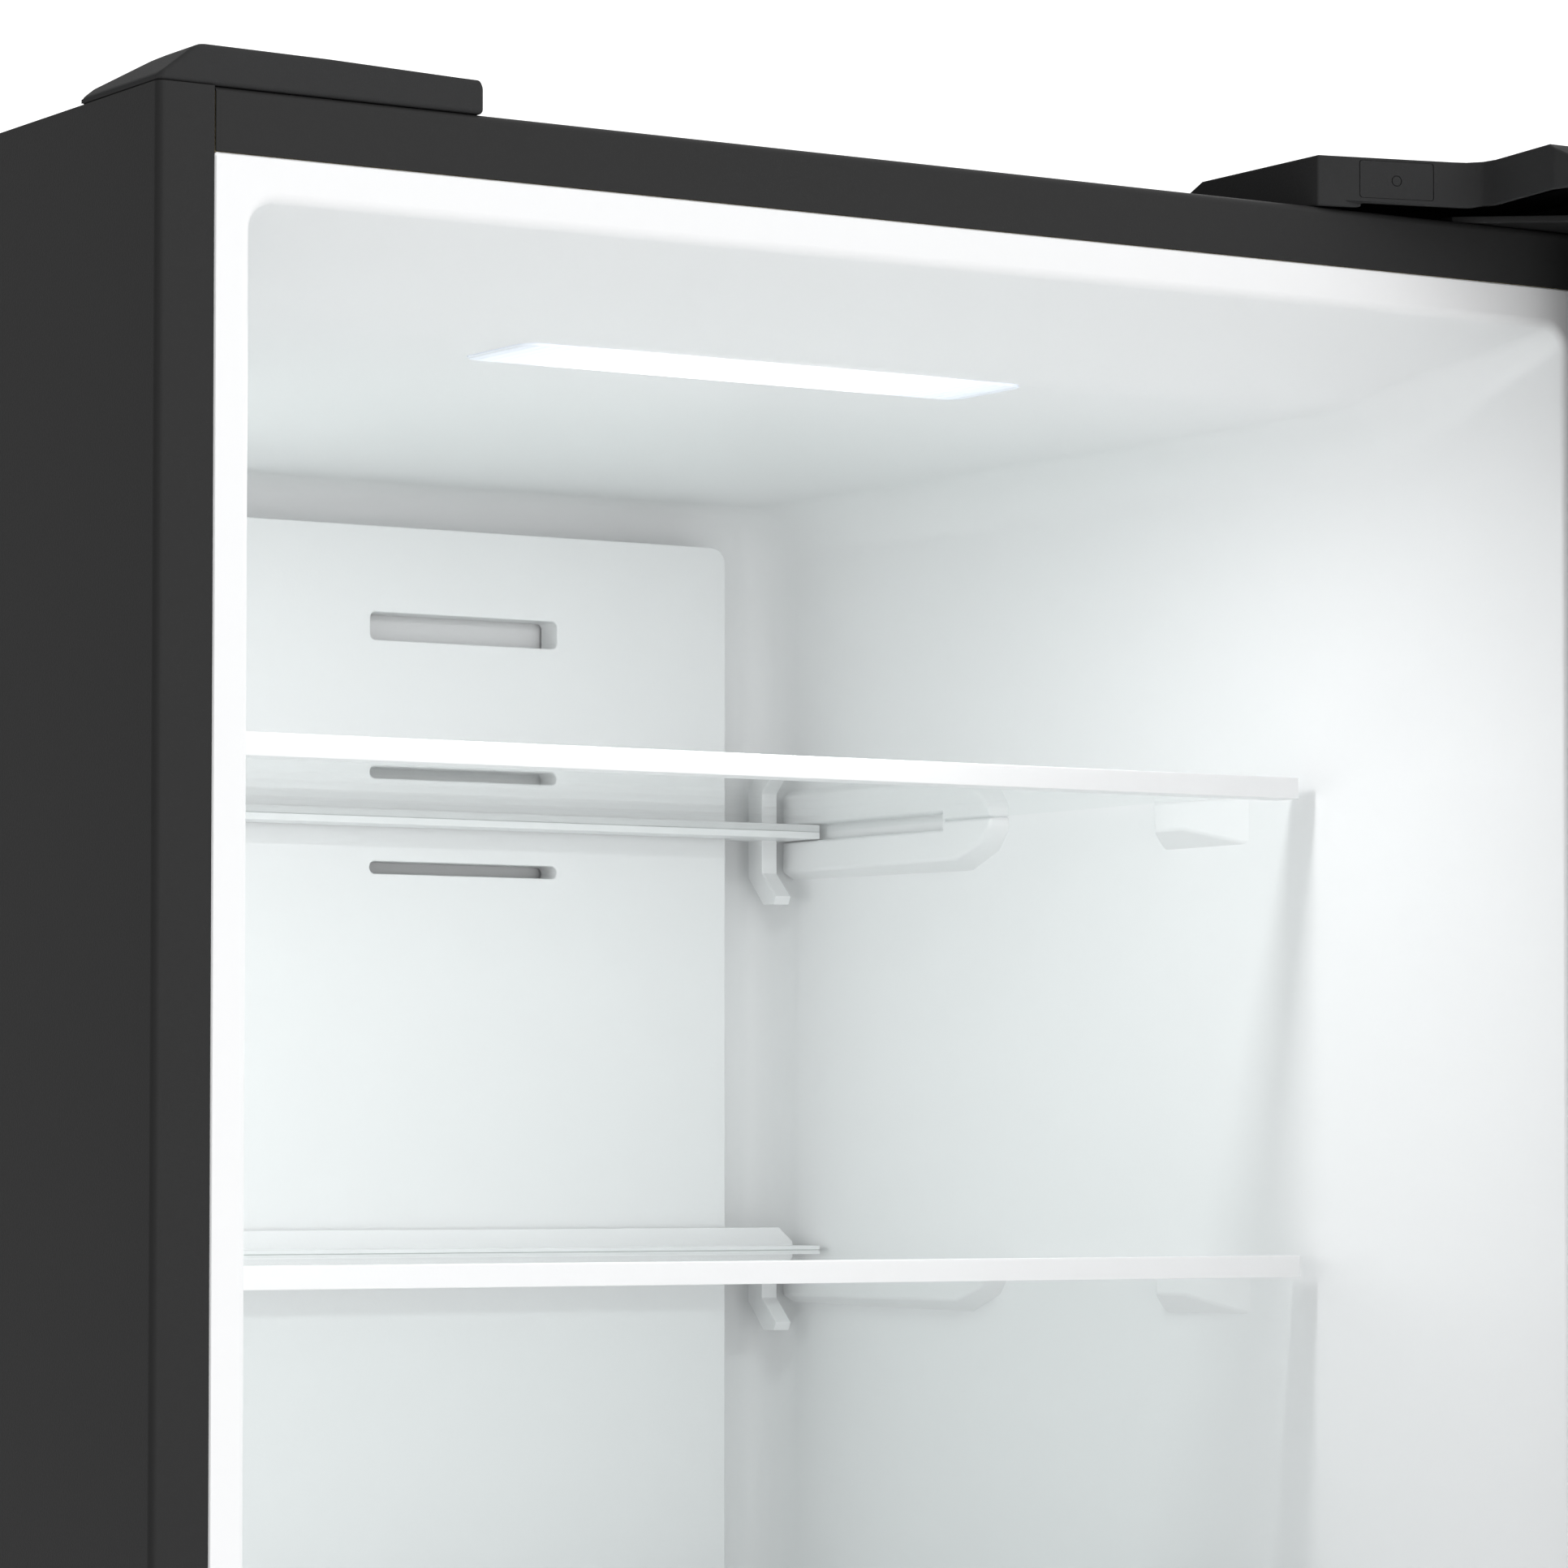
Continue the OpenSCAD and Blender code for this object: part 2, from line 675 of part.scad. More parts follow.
module bottom_hinge() {
    color(grey) from_front() difference() {
        union() {
            translate([0, 0, bottom_z]) linear_extrude(hinge_t) intersection() {
                hinge_plan(4, plate_w);
                translate([0, -200]) square([cabinet_w, 200 - nudge]);
            }
            translate([pin_x, -pin_out, bottom_z]) cylinder(r = pin_r, h = 5 + pin_grip);
            translate([flange_x, -hinge_t - nudge, bottom_z - 18])
                cube([flange_len, hinge_t + nudge + sheet_t, 18 + hinge_t]);
        }
        for (x = flange_screws) translate([pin_x + x, 0, bottom_z - 9]) rotate([90, 0, 0])
            cylinder(r = screw_r, h = 20, center = true);
    }
}

module screw() {
    cylinder(r = screw_r - 0.05, h = hinge_t);
    translate([0, 0, hinge_t]) cylinder(r1 = 4.6, r2 = 3.4, h = 2);
}

module hinge_screws() {
    color([0.3, 0.3, 0.32]) from_front() {
        for (p = top_screws) translate([pin_x + p[0], p[1], top_z + nudge]) screw();
        for (x = flange_screws, z = [middle_z - 6, bottom_z - 9])
            translate([pin_x + x, -nudge, z]) rotate([90, 0, 0]) screw();
    }
}

cover_height = 21;
cover_wall = 2;
cover_back = 96;
arm_end = door_t + door_gap - 5;

// Plan of the hinge cover: a block on the cabinet top with an arm over the door
module hinge_cover_plan(inset) {
    left = pin_x - 151 + inset;
    arm = pin_x - 88 + inset;
    right = half_w - 3 - inset;
    front = -arm_end + inset;
    back = cover_back - inset;
    polygon([[left, back], [left, inset], [arm - 4, inset - 16], [arm + 1, inset - 18], [arm + 5, -23],
        [arm + 6, -30], [arm, front + 10], [arm + 3, front + 3], [arm + 10, front], [right - 10, front],
        [right - 3, front + 3], [right, front + 10], [right, back]]);
}

module top_hinge_cover() {
    low = top_z + nudge;
    color(steel_dark) from_front() difference() {
        intersection() {
            translate([0, 0, low]) linear_extrude(cover_height) hinge_cover_plan(0);
            along_x(2 * cabinet_w) polygon([[-arm_end - 1, low + 2], [-arm_end - 1, low + 13],
                [-arm_end + 14, low + cover_height], [cover_back - 16, low + cover_height],
                [cover_back + 1, low + 14], [cover_back + 1, low], [-3, low], [-3, low + 2]]);
        }
        intersection() {
            translate([0, 0, low - cut]) linear_extrude(cover_height - cover_wall + cut)
                hinge_cover_plan(cover_wall);
            along_x(2 * cabinet_w) polygon([[-arm_end + 1, low - cut], [-arm_end + 1, low + 11],
                [-arm_end + 15, low + cover_height - cover_wall],
                [cover_back - 17, low + cover_height - cover_wall], [cover_back - 1, low + 12],
                [cover_back - 1, low - cut]]);
        }
    }
}

blank_w = 137;
blank_d = 66;
blank_h = 15;

// Blank cap over the unused left hinge holes. Its left side leans in and its top falls to the back.
module hinge_blank_cap() {
    color(steel_dark) from_front() translate([-half_w, 0, top_z + nudge]) intersection() {
        linear_extrude(blank_h + cut) round_rect(blank_w, blank_d, 3);
        along_y(blank_d) polygon([[0, 0], [0, 2], [14, blank_h - 2], [18, blank_h], [blank_w - 2, blank_h - 2.2],
            [blank_w, blank_h - 4], [blank_w, 0]]);
        along_x(2 * cabinet_w) polygon([[0, 0], [0, blank_h - 1], [2, blank_h], [30, blank_h], [blank_d, 7],
            [blank_d, 0]]);
    }
}

/* ---- fresh food fittings ---- */

fresh_shelf_w = 2 * inside_half - 6;
module fresh_shelf_glasses() {
    back = inside_d - 30;
    color(clear) from_front() {
        for (z = fresh_shelf_z) translate([0, fresh_setback + 3, z])
            centred_bar(fresh_shelf_w - 2, back - fresh_setback - 6, glass_t);
        translate([0, crisper_setback + 26, lid_z])
            centred_bar(fresh_shelf_w - lid_edge, step_y - crisper_setback - 40, glass_t);
    }
}

module fresh_shelf_trims() {
    back = inside_d - 30;
    color(white) from_front() for (z = fresh_shelf_z) {
        difference() {
            translate([0, fresh_setback, z - 3]) centred_bar(fresh_shelf_w, 16, 11);
            translate([0, fresh_setback + 3, z]) centred_bar(fresh_shelf_w - 2 + glass_fit, 16, glass_t);
        }
        difference() {
            translate([0, back - 20, z - 3]) centred_bar(fresh_shelf_w, 20, 16);
            translate([0, back - 20 - cut, z]) centred_bar(fresh_shelf_w - 2 + glass_fit, 17 + cut, glass_t);
        }
    }
}

crisper_inner = 14;
lip = 6;
lip_t = 3;
crisper_top = lid_z - lid_t - 2;
crisper_reach = inside_half - crisper_gap;
crisper_d = step_y - crisper_setback - 6;
runner_gap = 1;

// Frame under the crisper lid glass, with the runners that the drawer lips slide in
module crisper_lid_frame() {
    front = crisper_setback + 10;
    depth = step_y - front - 4;
    web_h = lip_t + 2 + 2 * runner_gap + 2;
    ledge_z = crisper_top - lip_t - runner_gap - 2;
    color(white) from_front() {
        difference() {
            translate([0, front, lid_z - lid_t]) centred_bar(fresh_shelf_w, depth, lid_t + glass_t);
            translate([0, front + 16 - glass_fit / 2, lid_z])
                centred_bar(fresh_shelf_w - lid_edge + glass_fit, depth - 26 + glass_fit, glass_t + cut);
            translate([0, front + 30, lid_z - lid_t - cut]) both_sides() translate([16, 0, 0])
                cube([fresh_shelf_w / 2 - 40, depth - 60, lid_t + 2 * cut]);
        }
        translate([0, front, ledge_z]) centred_bar(3, depth, lid_z - lid_t - ledge_z);
        translate([0, front, ledge_z]) centred_bar(2 * crisper_inner - 3, depth, 2);
        both_sides() translate([crisper_reach + lip + 3, front, ledge_z]) {
            cube([2, depth, lid_z - lid_t - ledge_z]);
            translate([-lip - 1.5, 0, 0]) cube([lip + 2, depth, 2]);
        }
    }
}

// Open drawer with side lips and a pull along the top of its front
module crisper() {
    w = crisper_reach - crisper_inner;
    low = fresh_floor + 6;
    h = crisper_top - low;
    color([0.85, 0.92, 0.95, 0.6]) from_front() translate([crisper_inner, crisper_setback, low]) {
        difference() {
            linear_extrude(h) round_rect(w, crisper_d, 10);
            translate([bin_t, bin_t, bin_t]) linear_extrude(h)
                round_rect(w - 2 * bin_t, crisper_d - 2 * bin_t, 10 - bin_t);
        }
        for (x = [-lip, w - bin_t]) translate([x, 12, h - lip_t]) cube([lip + bin_t, crisper_d - 24, lip_t]);
        translate([10, -16, h - 5]) cube([w - 20, 16 + bin_t, 3]);
        translate([10, -16, h - 20]) cube([w - 20, 3, 16]);
    }
}

module right_crisper() { crisper(); }
module left_crisper() { mirror([1, 0, 0]) crisper(); }

control_w = 240;
control_front = 70;
control_d = 190;
control_h = 34;
dial_r = 19;
dial_x = 70;

module control_housing() {
    low = fresh_top - control_h;
    color(white) from_front() difference() {
        translate([0, control_front, low]) linear_extrude(control_h - nudge)
            translate([-control_w / 2, 0]) round_rect(control_w, control_d, 10);
        translate([0, control_front + 3, low + 3]) linear_extrude(control_h) translate([-control_w / 2 + 3, 0])
            round_rect(control_w - 6, control_d - 6, 7);
        translate([dial_x, control_front - cut, low + control_h / 2]) along_y(6) circle(3 + pin_fit);
        translate([-20, control_front + 95, low - cut]) linear_extrude(6) centred_round_rect(120, 90, 6);
    }
}

module temperature_dial() {
    color(grey) from_front() translate([dial_x, control_front, fresh_top - control_h / 2]) difference() {
        union() {
            translate([0, -14, 0]) along_y(13) circle(dial_r - 5);
            translate([0, -4, 0]) along_y(3.5) circle(dial_r - 3);
            translate([0, -2, 0]) along_y(10) circle(3);
        }
        translate([-1, -15, 4]) cube([2, 6, 8]);
    }
}

module fresh_lamp_lens() {
    low = fresh_top - control_h;
    color([1, 1, 1, 0.8]) from_front() translate([-20, control_front + 95, low - 5]) difference() {
        linear_extrude(10) centred_round_rect(119.4, 89.4, 5.7);
        translate([0, 0, 2]) linear_extrude(20) centred_round_rect(115, 85, 4);
    }
}

duct_w = 180;
module air_duct_panel() {
    low = lid_z + 95;
    high = fresh_top - 40;
    color(white) from_front() difference() {
        translate([0, inside_d - 18, (low + high) / 2]) along_y(18) centred_round_rect(duct_w, high - low, 14);
        translate([0, inside_d - 15, (low + high) / 2]) along_y(18)
            centred_round_rect(duct_w - 6, high - low - 6, 11);
        for (z = [low + 50:95:high - 40], x = [-50, 50]) translate([x, inside_d - 20, z]) along_y(8)
            centred_round_rect(54, 9, 4.4);
    }
}

/* ---- machine compartment ---- */

module compressor() {
    foot_z = floor_gap + base_t + grommet_h - 4;
    color([0.12, 0.12, 0.13]) from_front() translate([compressor_x, compressor_y, foot_z]) {
        difference() {
            linear_extrude(3) centred_round_rect(2 * stud_dx + 30, 2 * stud_dy + 26, 12);
            for (x = [-stud_dx, stud_dx], y = [-stud_dy, stud_dy]) 
                translate([x, y, -cut]) cylinder(r = stud_hole_r, h = 6);
        }
        translate([0, 0, 2]) rotate_extrude($fn = 64) {
            square([compressor_r - can_edge, can_h]);
            translate([0, can_edge]) square([compressor_r, can_seam - can_edge]);
            translate([0, can_seam + 4]) square([compressor_r - 3, can_h - can_edge - can_seam - 4]);
            translate([compressor_r - can_edge, can_edge]) circle(can_edge);
            translate([compressor_r - 3 - can_edge, can_h - can_edge]) circle(can_edge);
            translate([0, can_seam - 2]) square([compressor_r + 2, 8]);
        }
        translate([-compressor_r - 26, -26, 36]) cube([32, 52, 56]);
    }
}

module compressor_grommets() {
    color([0.1, 0.1, 0.1]) from_front() for (x = [-stud_dx, stud_dx], y = [-stud_dy, stud_dy])
        translate([compressor_x + x, compressor_y + y, floor_gap + base_t]) {
            cylinder(r = grommet_r, h = grommet_h - 4);
            cylinder(r = stud_hole_r - 0.1, h = grommet_h + 1);
            translate([0, 0, grommet_h - 1]) cylinder(r = grommet_r - 1, h = 3);
        }
}

condenser_w = 520;
condenser_tube_r = 2.5;
condenser_gap = 14;
condenser_rows = 12;
condenser_pitch = 70;

// Tube-on-plate condenser held off the back panel by four spacers
module condenser() {
    low = machine_top + 90;
    h = (condenser_rows - 1) * condenser_pitch;
    half = condenser_w / 2 - 50;
    color([0.1, 0.1, 0.11]) from_front() translate([0, cabinet_d + condenser_gap, low]) {
        translate([0, 0, -30]) centred_bar(condenser_w, 1, h + 60);
        for (i = [0:condenser_rows - 1]) translate([0, 3, i * condenser_pitch]) rotate([0, 90, 0])
            cylinder(r = condenser_tube_r, h = 2 * half, center = true);
        for (i = [0:condenser_rows - 2]) mirror([i % 2, 0, 0]) translate([half, 3, (i + 0.5) * condenser_pitch])
            rotate([90, 0, 0]) rotate([0, 0, -90]) rotate_extrude(angle = 180) translate([condenser_pitch / 2, 0])
            circle(condenser_tube_r);
        for (x = [-condenser_w / 2 + 20, condenser_w / 2 - 20], z = [0, h])
            translate([x, -condenser_gap + 0.02, z]) along_y(condenser_gap + 0.5) circle(6);
    }
}

tray_x = -150;
inlet_x = -half_w + 60;
inlet_z = floor_gap + 150;

module drip_tray() {
    w = 240;
    d = 150;
    color([0.15, 0.15, 0.16]) from_front()
        translate([tray_x, machine_y + 110, floor_gap + base_t]) difference() {
            linear_extrude(40) centred_round_rect(w, d, 14);
            translate([0, 0, 2]) linear_extrude(50) centred_round_rect(w - 4, d - 4, 12);
        }
}

// Perforated board that closes the compressor compartment at the back
module machine_cover() {
    w = cabinet_w - 2 * fold_r;
    low = floor_gap + base_t;
    color([0.1, 0.1, 0.11]) from_front() translate([0, cabinet_d - 2, 0]) difference() {
        translate([0, 0, low]) centred_bar(w, 1.6, machine_h - 2 * base_t);
        for (i = [-10:12], row = [0:3]) translate([i * 24 - 4, -cut, low + 56 + row * 36]) cube([8, 4, 22]);
        translate([inlet_x, -cut, inlet_z]) along_y(4) centred_round_rect(10, 22, 3);
    }
}

// Toe grille under the fresh food door, clipped to the front of the base plate
module base_grille() {
    w = cabinet_w - 190;
    low = 10;
    h = fresh_door_low - 8 - low;
    color(steel_dark) from_front() translate([-50, -26, low]) difference() {
        union() {
            centred_bar(w, 3, h);
            for (x = [-w / 2 + 8, 0, w / 2 - 14]) translate([x, 2, h - 18]) cube([6, 24, 8]);
        }
        for (i = [-14:14], row = [0:1]) translate([i * 17, -cut, 10 + row * 16]) along_y(5)
            centred_round_rect(12, 5, 2.4);
    }
}

module power_inlet() {
    color([0.08, 0.08, 0.08]) from_front() translate([inlet_x, cabinet_d - 0.4, inlet_z]) difference() {
        union() {
            along_y(8) centred_round_rect(32, 26, 4);
            translate([0, -12, 0]) along_y(14) centred_round_rect(7.6, 20, 3);
        }
        translate([0, 2, 0]) along_y(10) centred_round_rect(26, 20, 3);
    }
}

module foot() {
    color([0.12, 0.12, 0.12]) from_front() translate([foot_x, foot_y, 0]) union() {
        cylinder(r1 = sole_r - 1, r2 = sole_r, h = 1);
        translate([0, 0, 1]) cylinder(r = sole_r, h = 9);
        translate([0, 0, 10]) cylinder(r = sole_r - 7, h = 8, $fn = 6);
        cylinder(r = stem_r, h = floor_gap + stem_top - 4);
    }
}

module right_foot() { foot(); }
module left_foot() { mirror([1, 0, 0]) foot(); }

module roller() {
    color([0.14, 0.14, 0.14]) from_front() translate([roller_x, roller_y, roller_r]) rotate([0, 90, 0]) union() {
        difference() {
            cylinder(r = roller_r, h = roller_w, center = true);
            for (end = [0, 1]) mirror([0, 0, end]) translate([0, 0, roller_w / 2 - recess]) difference() {
                cylinder(r = roller_r - 4, h = recess + cut);
                cylinder(r = 2 * axle_r, h = recess + cut);
            }
        }
        cylinder(r = axle_r, h = roller_w + 2 * ear_t + 2, center = true);
    }
}

module right_roller() { roller(); }
module left_roller() { mirror([1, 0, 0]) roller(); }

/* ---- doors, drawn closed and swung open about the hinge pin ---- */

module swung() {
    from_front() translate([pin_x, -pin_out, 0]) rotate([0, 0, door_open])
        translate([-pin_x, pin_out, 0]) children();
}

door_back = -door_gap;
door_front = -door_gap - door_t;
ridge_half = opening_half - 7;
bush_r = 11;

// Plan of a closed door in front of its liner. longer stretches it to the back.
module door_plan(inset = 0, longer = 0) {
    r = door_r - inset;
    translate([-half_w + inset, door_front + inset]) {
        translate([r, 0]) square([cabinet_w - 2 * door_r, r]);
        translate([0, r]) square([cabinet_w - 2 * inset, door_t - door_r - liner_t + longer]);
        for (x = [r, cabinet_w - 2 * inset - r]) translate([x, r]) circle(r);
    }
}

// Painted sheet bent round the front and both sides of a door
module door_skin(low, high) {
    swung() color(steel_dark) translate([0, 0, low + cap_h])
        linear_extrude(high - low - 2 * cap_h) difference() {
        door_plan();
        door_plan(sheet_t, cut);
    }
}

// Raised ridge round the inside of a door, in front view
module ridge_outline(low, high, inset) {
    difference() {
        translate([-ridge_half + inset, low + inset])
            round_rect(2 * (ridge_half - inset), high - low - 2 * inset, 14);
        translate([-ridge_half + ridge_w - inset, low + ridge_w - inset])
            round_rect(2 * (ridge_half - ridge_w + inset), high - low - 2 * (ridge_w - inset), 8);
    }
}

module door_foam(low, high, ridge_low, ridge_high) {
    swung() color([0.93, 0.88, 0.68]) difference() {
        union() {
            translate([0, 0, low + cap_h]) linear_extrude(high - low - 2 * cap_h) door_plan(sheet_t);
            translate([0, door_back - liner_t, 0]) along_y(ridge_d)
                ridge_outline(ridge_low, ridge_high, liner_t);
        }
        for (z = [low, high - cap_h - 8]) translate([pin_x, -pin_out, z])
            cylinder(r = bush_r + nudge, h = cap_h + 8);
    }
}

module door_liner(low, high, ridge_low, ridge_high, boss_z) {
    swung() color(white) difference() {
        union() {
            translate([0, door_back - liner_t, 0]) along_y(liner_t)
                translate([-half_w + 2, low + 2]) round_rect(cabinet_w - 4, high - low - 4, 6);
            translate([0, door_back - liner_t, 0]) along_y(ridge_d + liner_t)
                ridge_outline(ridge_low, ridge_high, 0);
            both_sides() for (z = boss_z) translate([-ridge_half + ridge_w - cut, door_back + 22, z + 50])
                rotate([0, 90, 0]) cylinder(r = 7, h = 3 + cut);
        }
        translate([0, door_back - liner_t - cut, 0]) along_y(ridge_d + cut)
            ridge_outline(ridge_low, ridge_high, liner_t);
    }
}

module door_seal(low, high) {
    swung() color([0.75, 0.76, 0.78]) translate([0, door_back, 0]) along_y(door_gap - 0.4) difference() {
        opening_outline(low, high, seal_w + 2);
        opening_outline(low, high, 2);
    }
}

// Moulded caps at the top and bottom of a door, with a bush at each pin
module door_caps(low, high) {
    swung() color([0.14, 0.14, 0.15]) for (z = [low, high - cap_h]) difference() {
        union() {
            translate([0, 0, z]) linear_extrude(cap_h) door_plan();
            translate([pin_x, -pin_out, z == low ? z : z - 8]) cylinder(r = bush_r, h = cap_h + 8);
        }
        translate([pin_x, -pin_out, z == low ? z - cut : z - 2])
            cylinder(r = pin_r + pin_fit, h = cap_h + cut + 2);
        translate([-half_w + 60, door_front + 12, z + (z == low ? 4 : -cut)])
            cube([cabinet_w - 180, door_t - 30, cap_h - 4 + cut]);
    }
}

handle_out = 34;
handle_bar_w = 22;
module door_handle(low, high) {
    swung() color([0.62, 0.63, 0.65]) translate([-half_w + 46, 0, 0]) {
        translate([-handle_bar_w / 2, door_front - handle_out, low]) linear_extrude(high - low)
            round_rect(handle_bar_w, 12, 5.5);
        for (z = [low + 24, high - 24]) translate([0, door_front - handle_out + 10, z])
            along_y(handle_out - 10) circle(7);
    }
}

module door_bin(z) {
    w = 2 * (ridge_half - ridge_w - 3);
    r = 16;
    swung() color([0.85, 0.92, 0.95, 0.6]) translate([-w / 2, door_back, z]) difference() {
        linear_extrude(bin_h) bin_plan(w, bin_d, r);
        translate([bin_t, bin_t, bin_t]) linear_extrude(bin_h)
            bin_plan(w - 2 * bin_t, bin_d - 2 * bin_t, r - bin_t);
    }
}

module bin_plan(w, d, r) {
    square([w, d - r]);
    translate([r, 0]) square([w - 2 * r, d]);
    for (x = [r, w - r]) translate([x, d - r]) circle(r);
}

freezer_ridge_low = freezer_floor + 8;
freezer_ridge_high = ceiling_z + 8;
fresh_ridge_low = fresh_floor + 8;
fresh_ridge_high = fresh_top - 8;
freezer_bins = [freezer_floor + bin_low, freezer_top - bin_head];
fresh_bins = [for (share = [0, 0.5, 1])
    (1 - share) * (fresh_floor + bin_low) + share * (fresh_top - bin_head)];
freezer_handle = [freezer_door_low + 40, freezer_door_low + 340];
fresh_handle = [fresh_door_high - 480, fresh_door_high - 40];

module freezer_door_skin() { door_skin(freezer_door_low, freezer_door_high); }
module freezer_door_foam() {
    door_foam(freezer_door_low, freezer_door_high, freezer_ridge_low, freezer_ridge_high);
}
module freezer_door_liner() {
    door_liner(freezer_door_low, freezer_door_high, freezer_ridge_low, freezer_ridge_high, freezer_bins);
}
module freezer_door_seal() { door_seal(freezer_floor, freezer_top); }
module freezer_door_caps() { door_caps(freezer_door_low, freezer_door_high); }
module freezer_door_handle() { door_handle(freezer_handle[0], freezer_handle[1]); }
module freezer_lower_bin() { door_bin(freezer_bins[0]); }
module freezer_upper_bin() { door_bin(freezer_bins[1]); }

module fresh_door_skin() { door_skin(fresh_door_low, fresh_door_high); }
module fresh_door_foam() { door_foam(fresh_door_low, fresh_door_high, fresh_ridge_low, fresh_ridge_high); }
module fresh_door_liner() {
    door_liner(fresh_door_low, fresh_door_high, fresh_ridge_low, fresh_ridge_high, fresh_bins);
}
module fresh_door_seal() { door_seal(fresh_floor, fresh_top); }
module fresh_door_caps() { door_caps(fresh_door_low, fresh_door_high); }
module fresh_door_handle() { door_handle(fresh_handle[0], fresh_handle[1]); }
module fresh_lower_bin() { door_bin(fresh_bins[0]); }
module fresh_upper_bins() { for (z = [fresh_bins[1], fresh_bins[2]]) door_bin(z); }

side_panel_left();
side_panel_right();
top_panel();
back_panel();
base_plate();
cabinet_foam();
freezer_liner();
fresh_liner();
divider_rail();
evaporator_cover();
evaporator_coil();
fan_motor();
evaporator_fan();
ceiling_lamp_lens();
upper_shelf_glass();
upper_shelf_trims();
lower_shelf_glass();
lower_shelf_trims();
hinge_blank_cap();
top_hinge_cover();
top_hinge();
middle_hinge();
bottom_hinge();
hinge_screws();
fresh_shelf_glasses();
fresh_shelf_trims();
crisper_lid_frame();
left_crisper();
right_crisper();
control_housing();
temperature_dial();
fresh_lamp_lens();
air_duct_panel();
compressor();
compressor_grommets();
condenser();
drip_tray();
machine_cover();
base_grille();
power_inlet();
left_foot();
right_foot();
left_roller();
right_roller();
freezer_door_skin();
freezer_door_foam();
freezer_door_liner();
freezer_door_seal();
freezer_door_caps();
freezer_door_handle();
freezer_upper_bin();
freezer_lower_bin();
fresh_door_skin();
fresh_door_foam();
fresh_door_liner();
fresh_door_seal();
fresh_door_caps();
fresh_door_handle();
fresh_upper_bins();
fresh_lower_bin();
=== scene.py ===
import json
import math

import bmesh
import bpy
from mathutils import Matrix, Vector

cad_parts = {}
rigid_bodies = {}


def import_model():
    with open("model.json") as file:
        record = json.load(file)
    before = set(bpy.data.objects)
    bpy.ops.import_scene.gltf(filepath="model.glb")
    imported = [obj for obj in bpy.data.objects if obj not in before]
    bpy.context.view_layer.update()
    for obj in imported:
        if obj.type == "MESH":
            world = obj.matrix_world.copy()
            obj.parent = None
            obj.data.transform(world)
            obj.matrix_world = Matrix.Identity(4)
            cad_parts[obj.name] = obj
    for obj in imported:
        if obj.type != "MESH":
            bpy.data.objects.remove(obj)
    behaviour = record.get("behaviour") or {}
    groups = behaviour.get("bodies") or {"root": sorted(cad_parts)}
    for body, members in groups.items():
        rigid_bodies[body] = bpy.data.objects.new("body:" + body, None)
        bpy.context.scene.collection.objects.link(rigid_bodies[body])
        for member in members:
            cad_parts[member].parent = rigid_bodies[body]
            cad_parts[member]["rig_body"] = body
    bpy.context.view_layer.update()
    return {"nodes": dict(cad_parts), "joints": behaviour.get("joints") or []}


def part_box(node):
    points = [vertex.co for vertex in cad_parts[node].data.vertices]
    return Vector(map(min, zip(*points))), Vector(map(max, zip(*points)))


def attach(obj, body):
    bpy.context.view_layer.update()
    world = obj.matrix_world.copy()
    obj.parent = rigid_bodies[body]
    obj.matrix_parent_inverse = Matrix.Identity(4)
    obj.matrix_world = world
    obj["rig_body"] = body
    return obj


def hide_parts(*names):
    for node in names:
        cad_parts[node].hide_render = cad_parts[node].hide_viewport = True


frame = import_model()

# ---- Studio ----
# A pale floor, a white surround that is darker on the left, a large soft light in front, and a fill inside
# the freezer for the light that its white walls throw back. The camera looks up from the front left.
cabinet_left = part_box("side_panel_left")[0]
cabinet_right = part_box("side_panel_right")[1]
front_y = cabinet_left.y
cabinet_top = cabinet_right.z

camera = bpy.data.objects.new("camera", bpy.data.cameras.new("camera"))
bpy.context.scene.collection.objects.link(camera)
bpy.context.scene.camera = camera
camera.location = Vector((cabinet_left.x, front_y, cabinet_top)) + Vector((-0.9651, -1.9312, -0.3945))
camera_yaw, camera_tilt = 32.603, 2.763
camera.rotation_euler = (math.radians(90 + camera_tilt), 0, math.radians(-camera_yaw))
camera.data.lens = 136.589
camera.data.sensor_width = 36
camera.data.shift_y = 0.06
camera.data.clip_end = 60
bpy.context.scene.view_settings.view_transform = "Standard"


class Value:
    """A socket in a material. Sums on it add Math nodes, and make() adds any other node."""

    def __init__(self, tree, socket=None):
        self.tree, self.socket = tree, socket

    def make(self, kind, settings, sockets, output=0):
        node = self.tree.nodes.new("ShaderNode" + kind)
        for name, setting in settings.items():
            if name == "stops":
                ramp = node.color_ramp.elements
                while len(ramp) < len(setting):
                    ramp.new(0.5)
                for stop, (place, shade) in zip(ramp, setting):
                    stop.position, stop.color = place, (*shade, 1)
            else:
                setattr(node, name, setting)
        for name, source in sockets.items():
            if isinstance(source, Value):
                self.tree.links.new(source.socket, node.inputs[name])
            else:
                node.inputs[name].default_value = source
        return Value(self.tree, node.outputs[output])

    def math(self, operation, *terms):
        return self.make("Math", {"operation": operation}, dict(enumerate(terms)))

    def __add__(self, other):
        return self.math("ADD", self, other)

    def __radd__(self, other):
        return self.math("ADD", other, self)

    def __sub__(self, other):
        return self.math("SUBTRACT", self, other)

    def __rsub__(self, other):
        return self.math("SUBTRACT", other, self)

    def __mul__(self, other):
        return self.math("MULTIPLY", self, other)

    def __rmul__(self, other):
        return self.math("MULTIPLY", other, self)


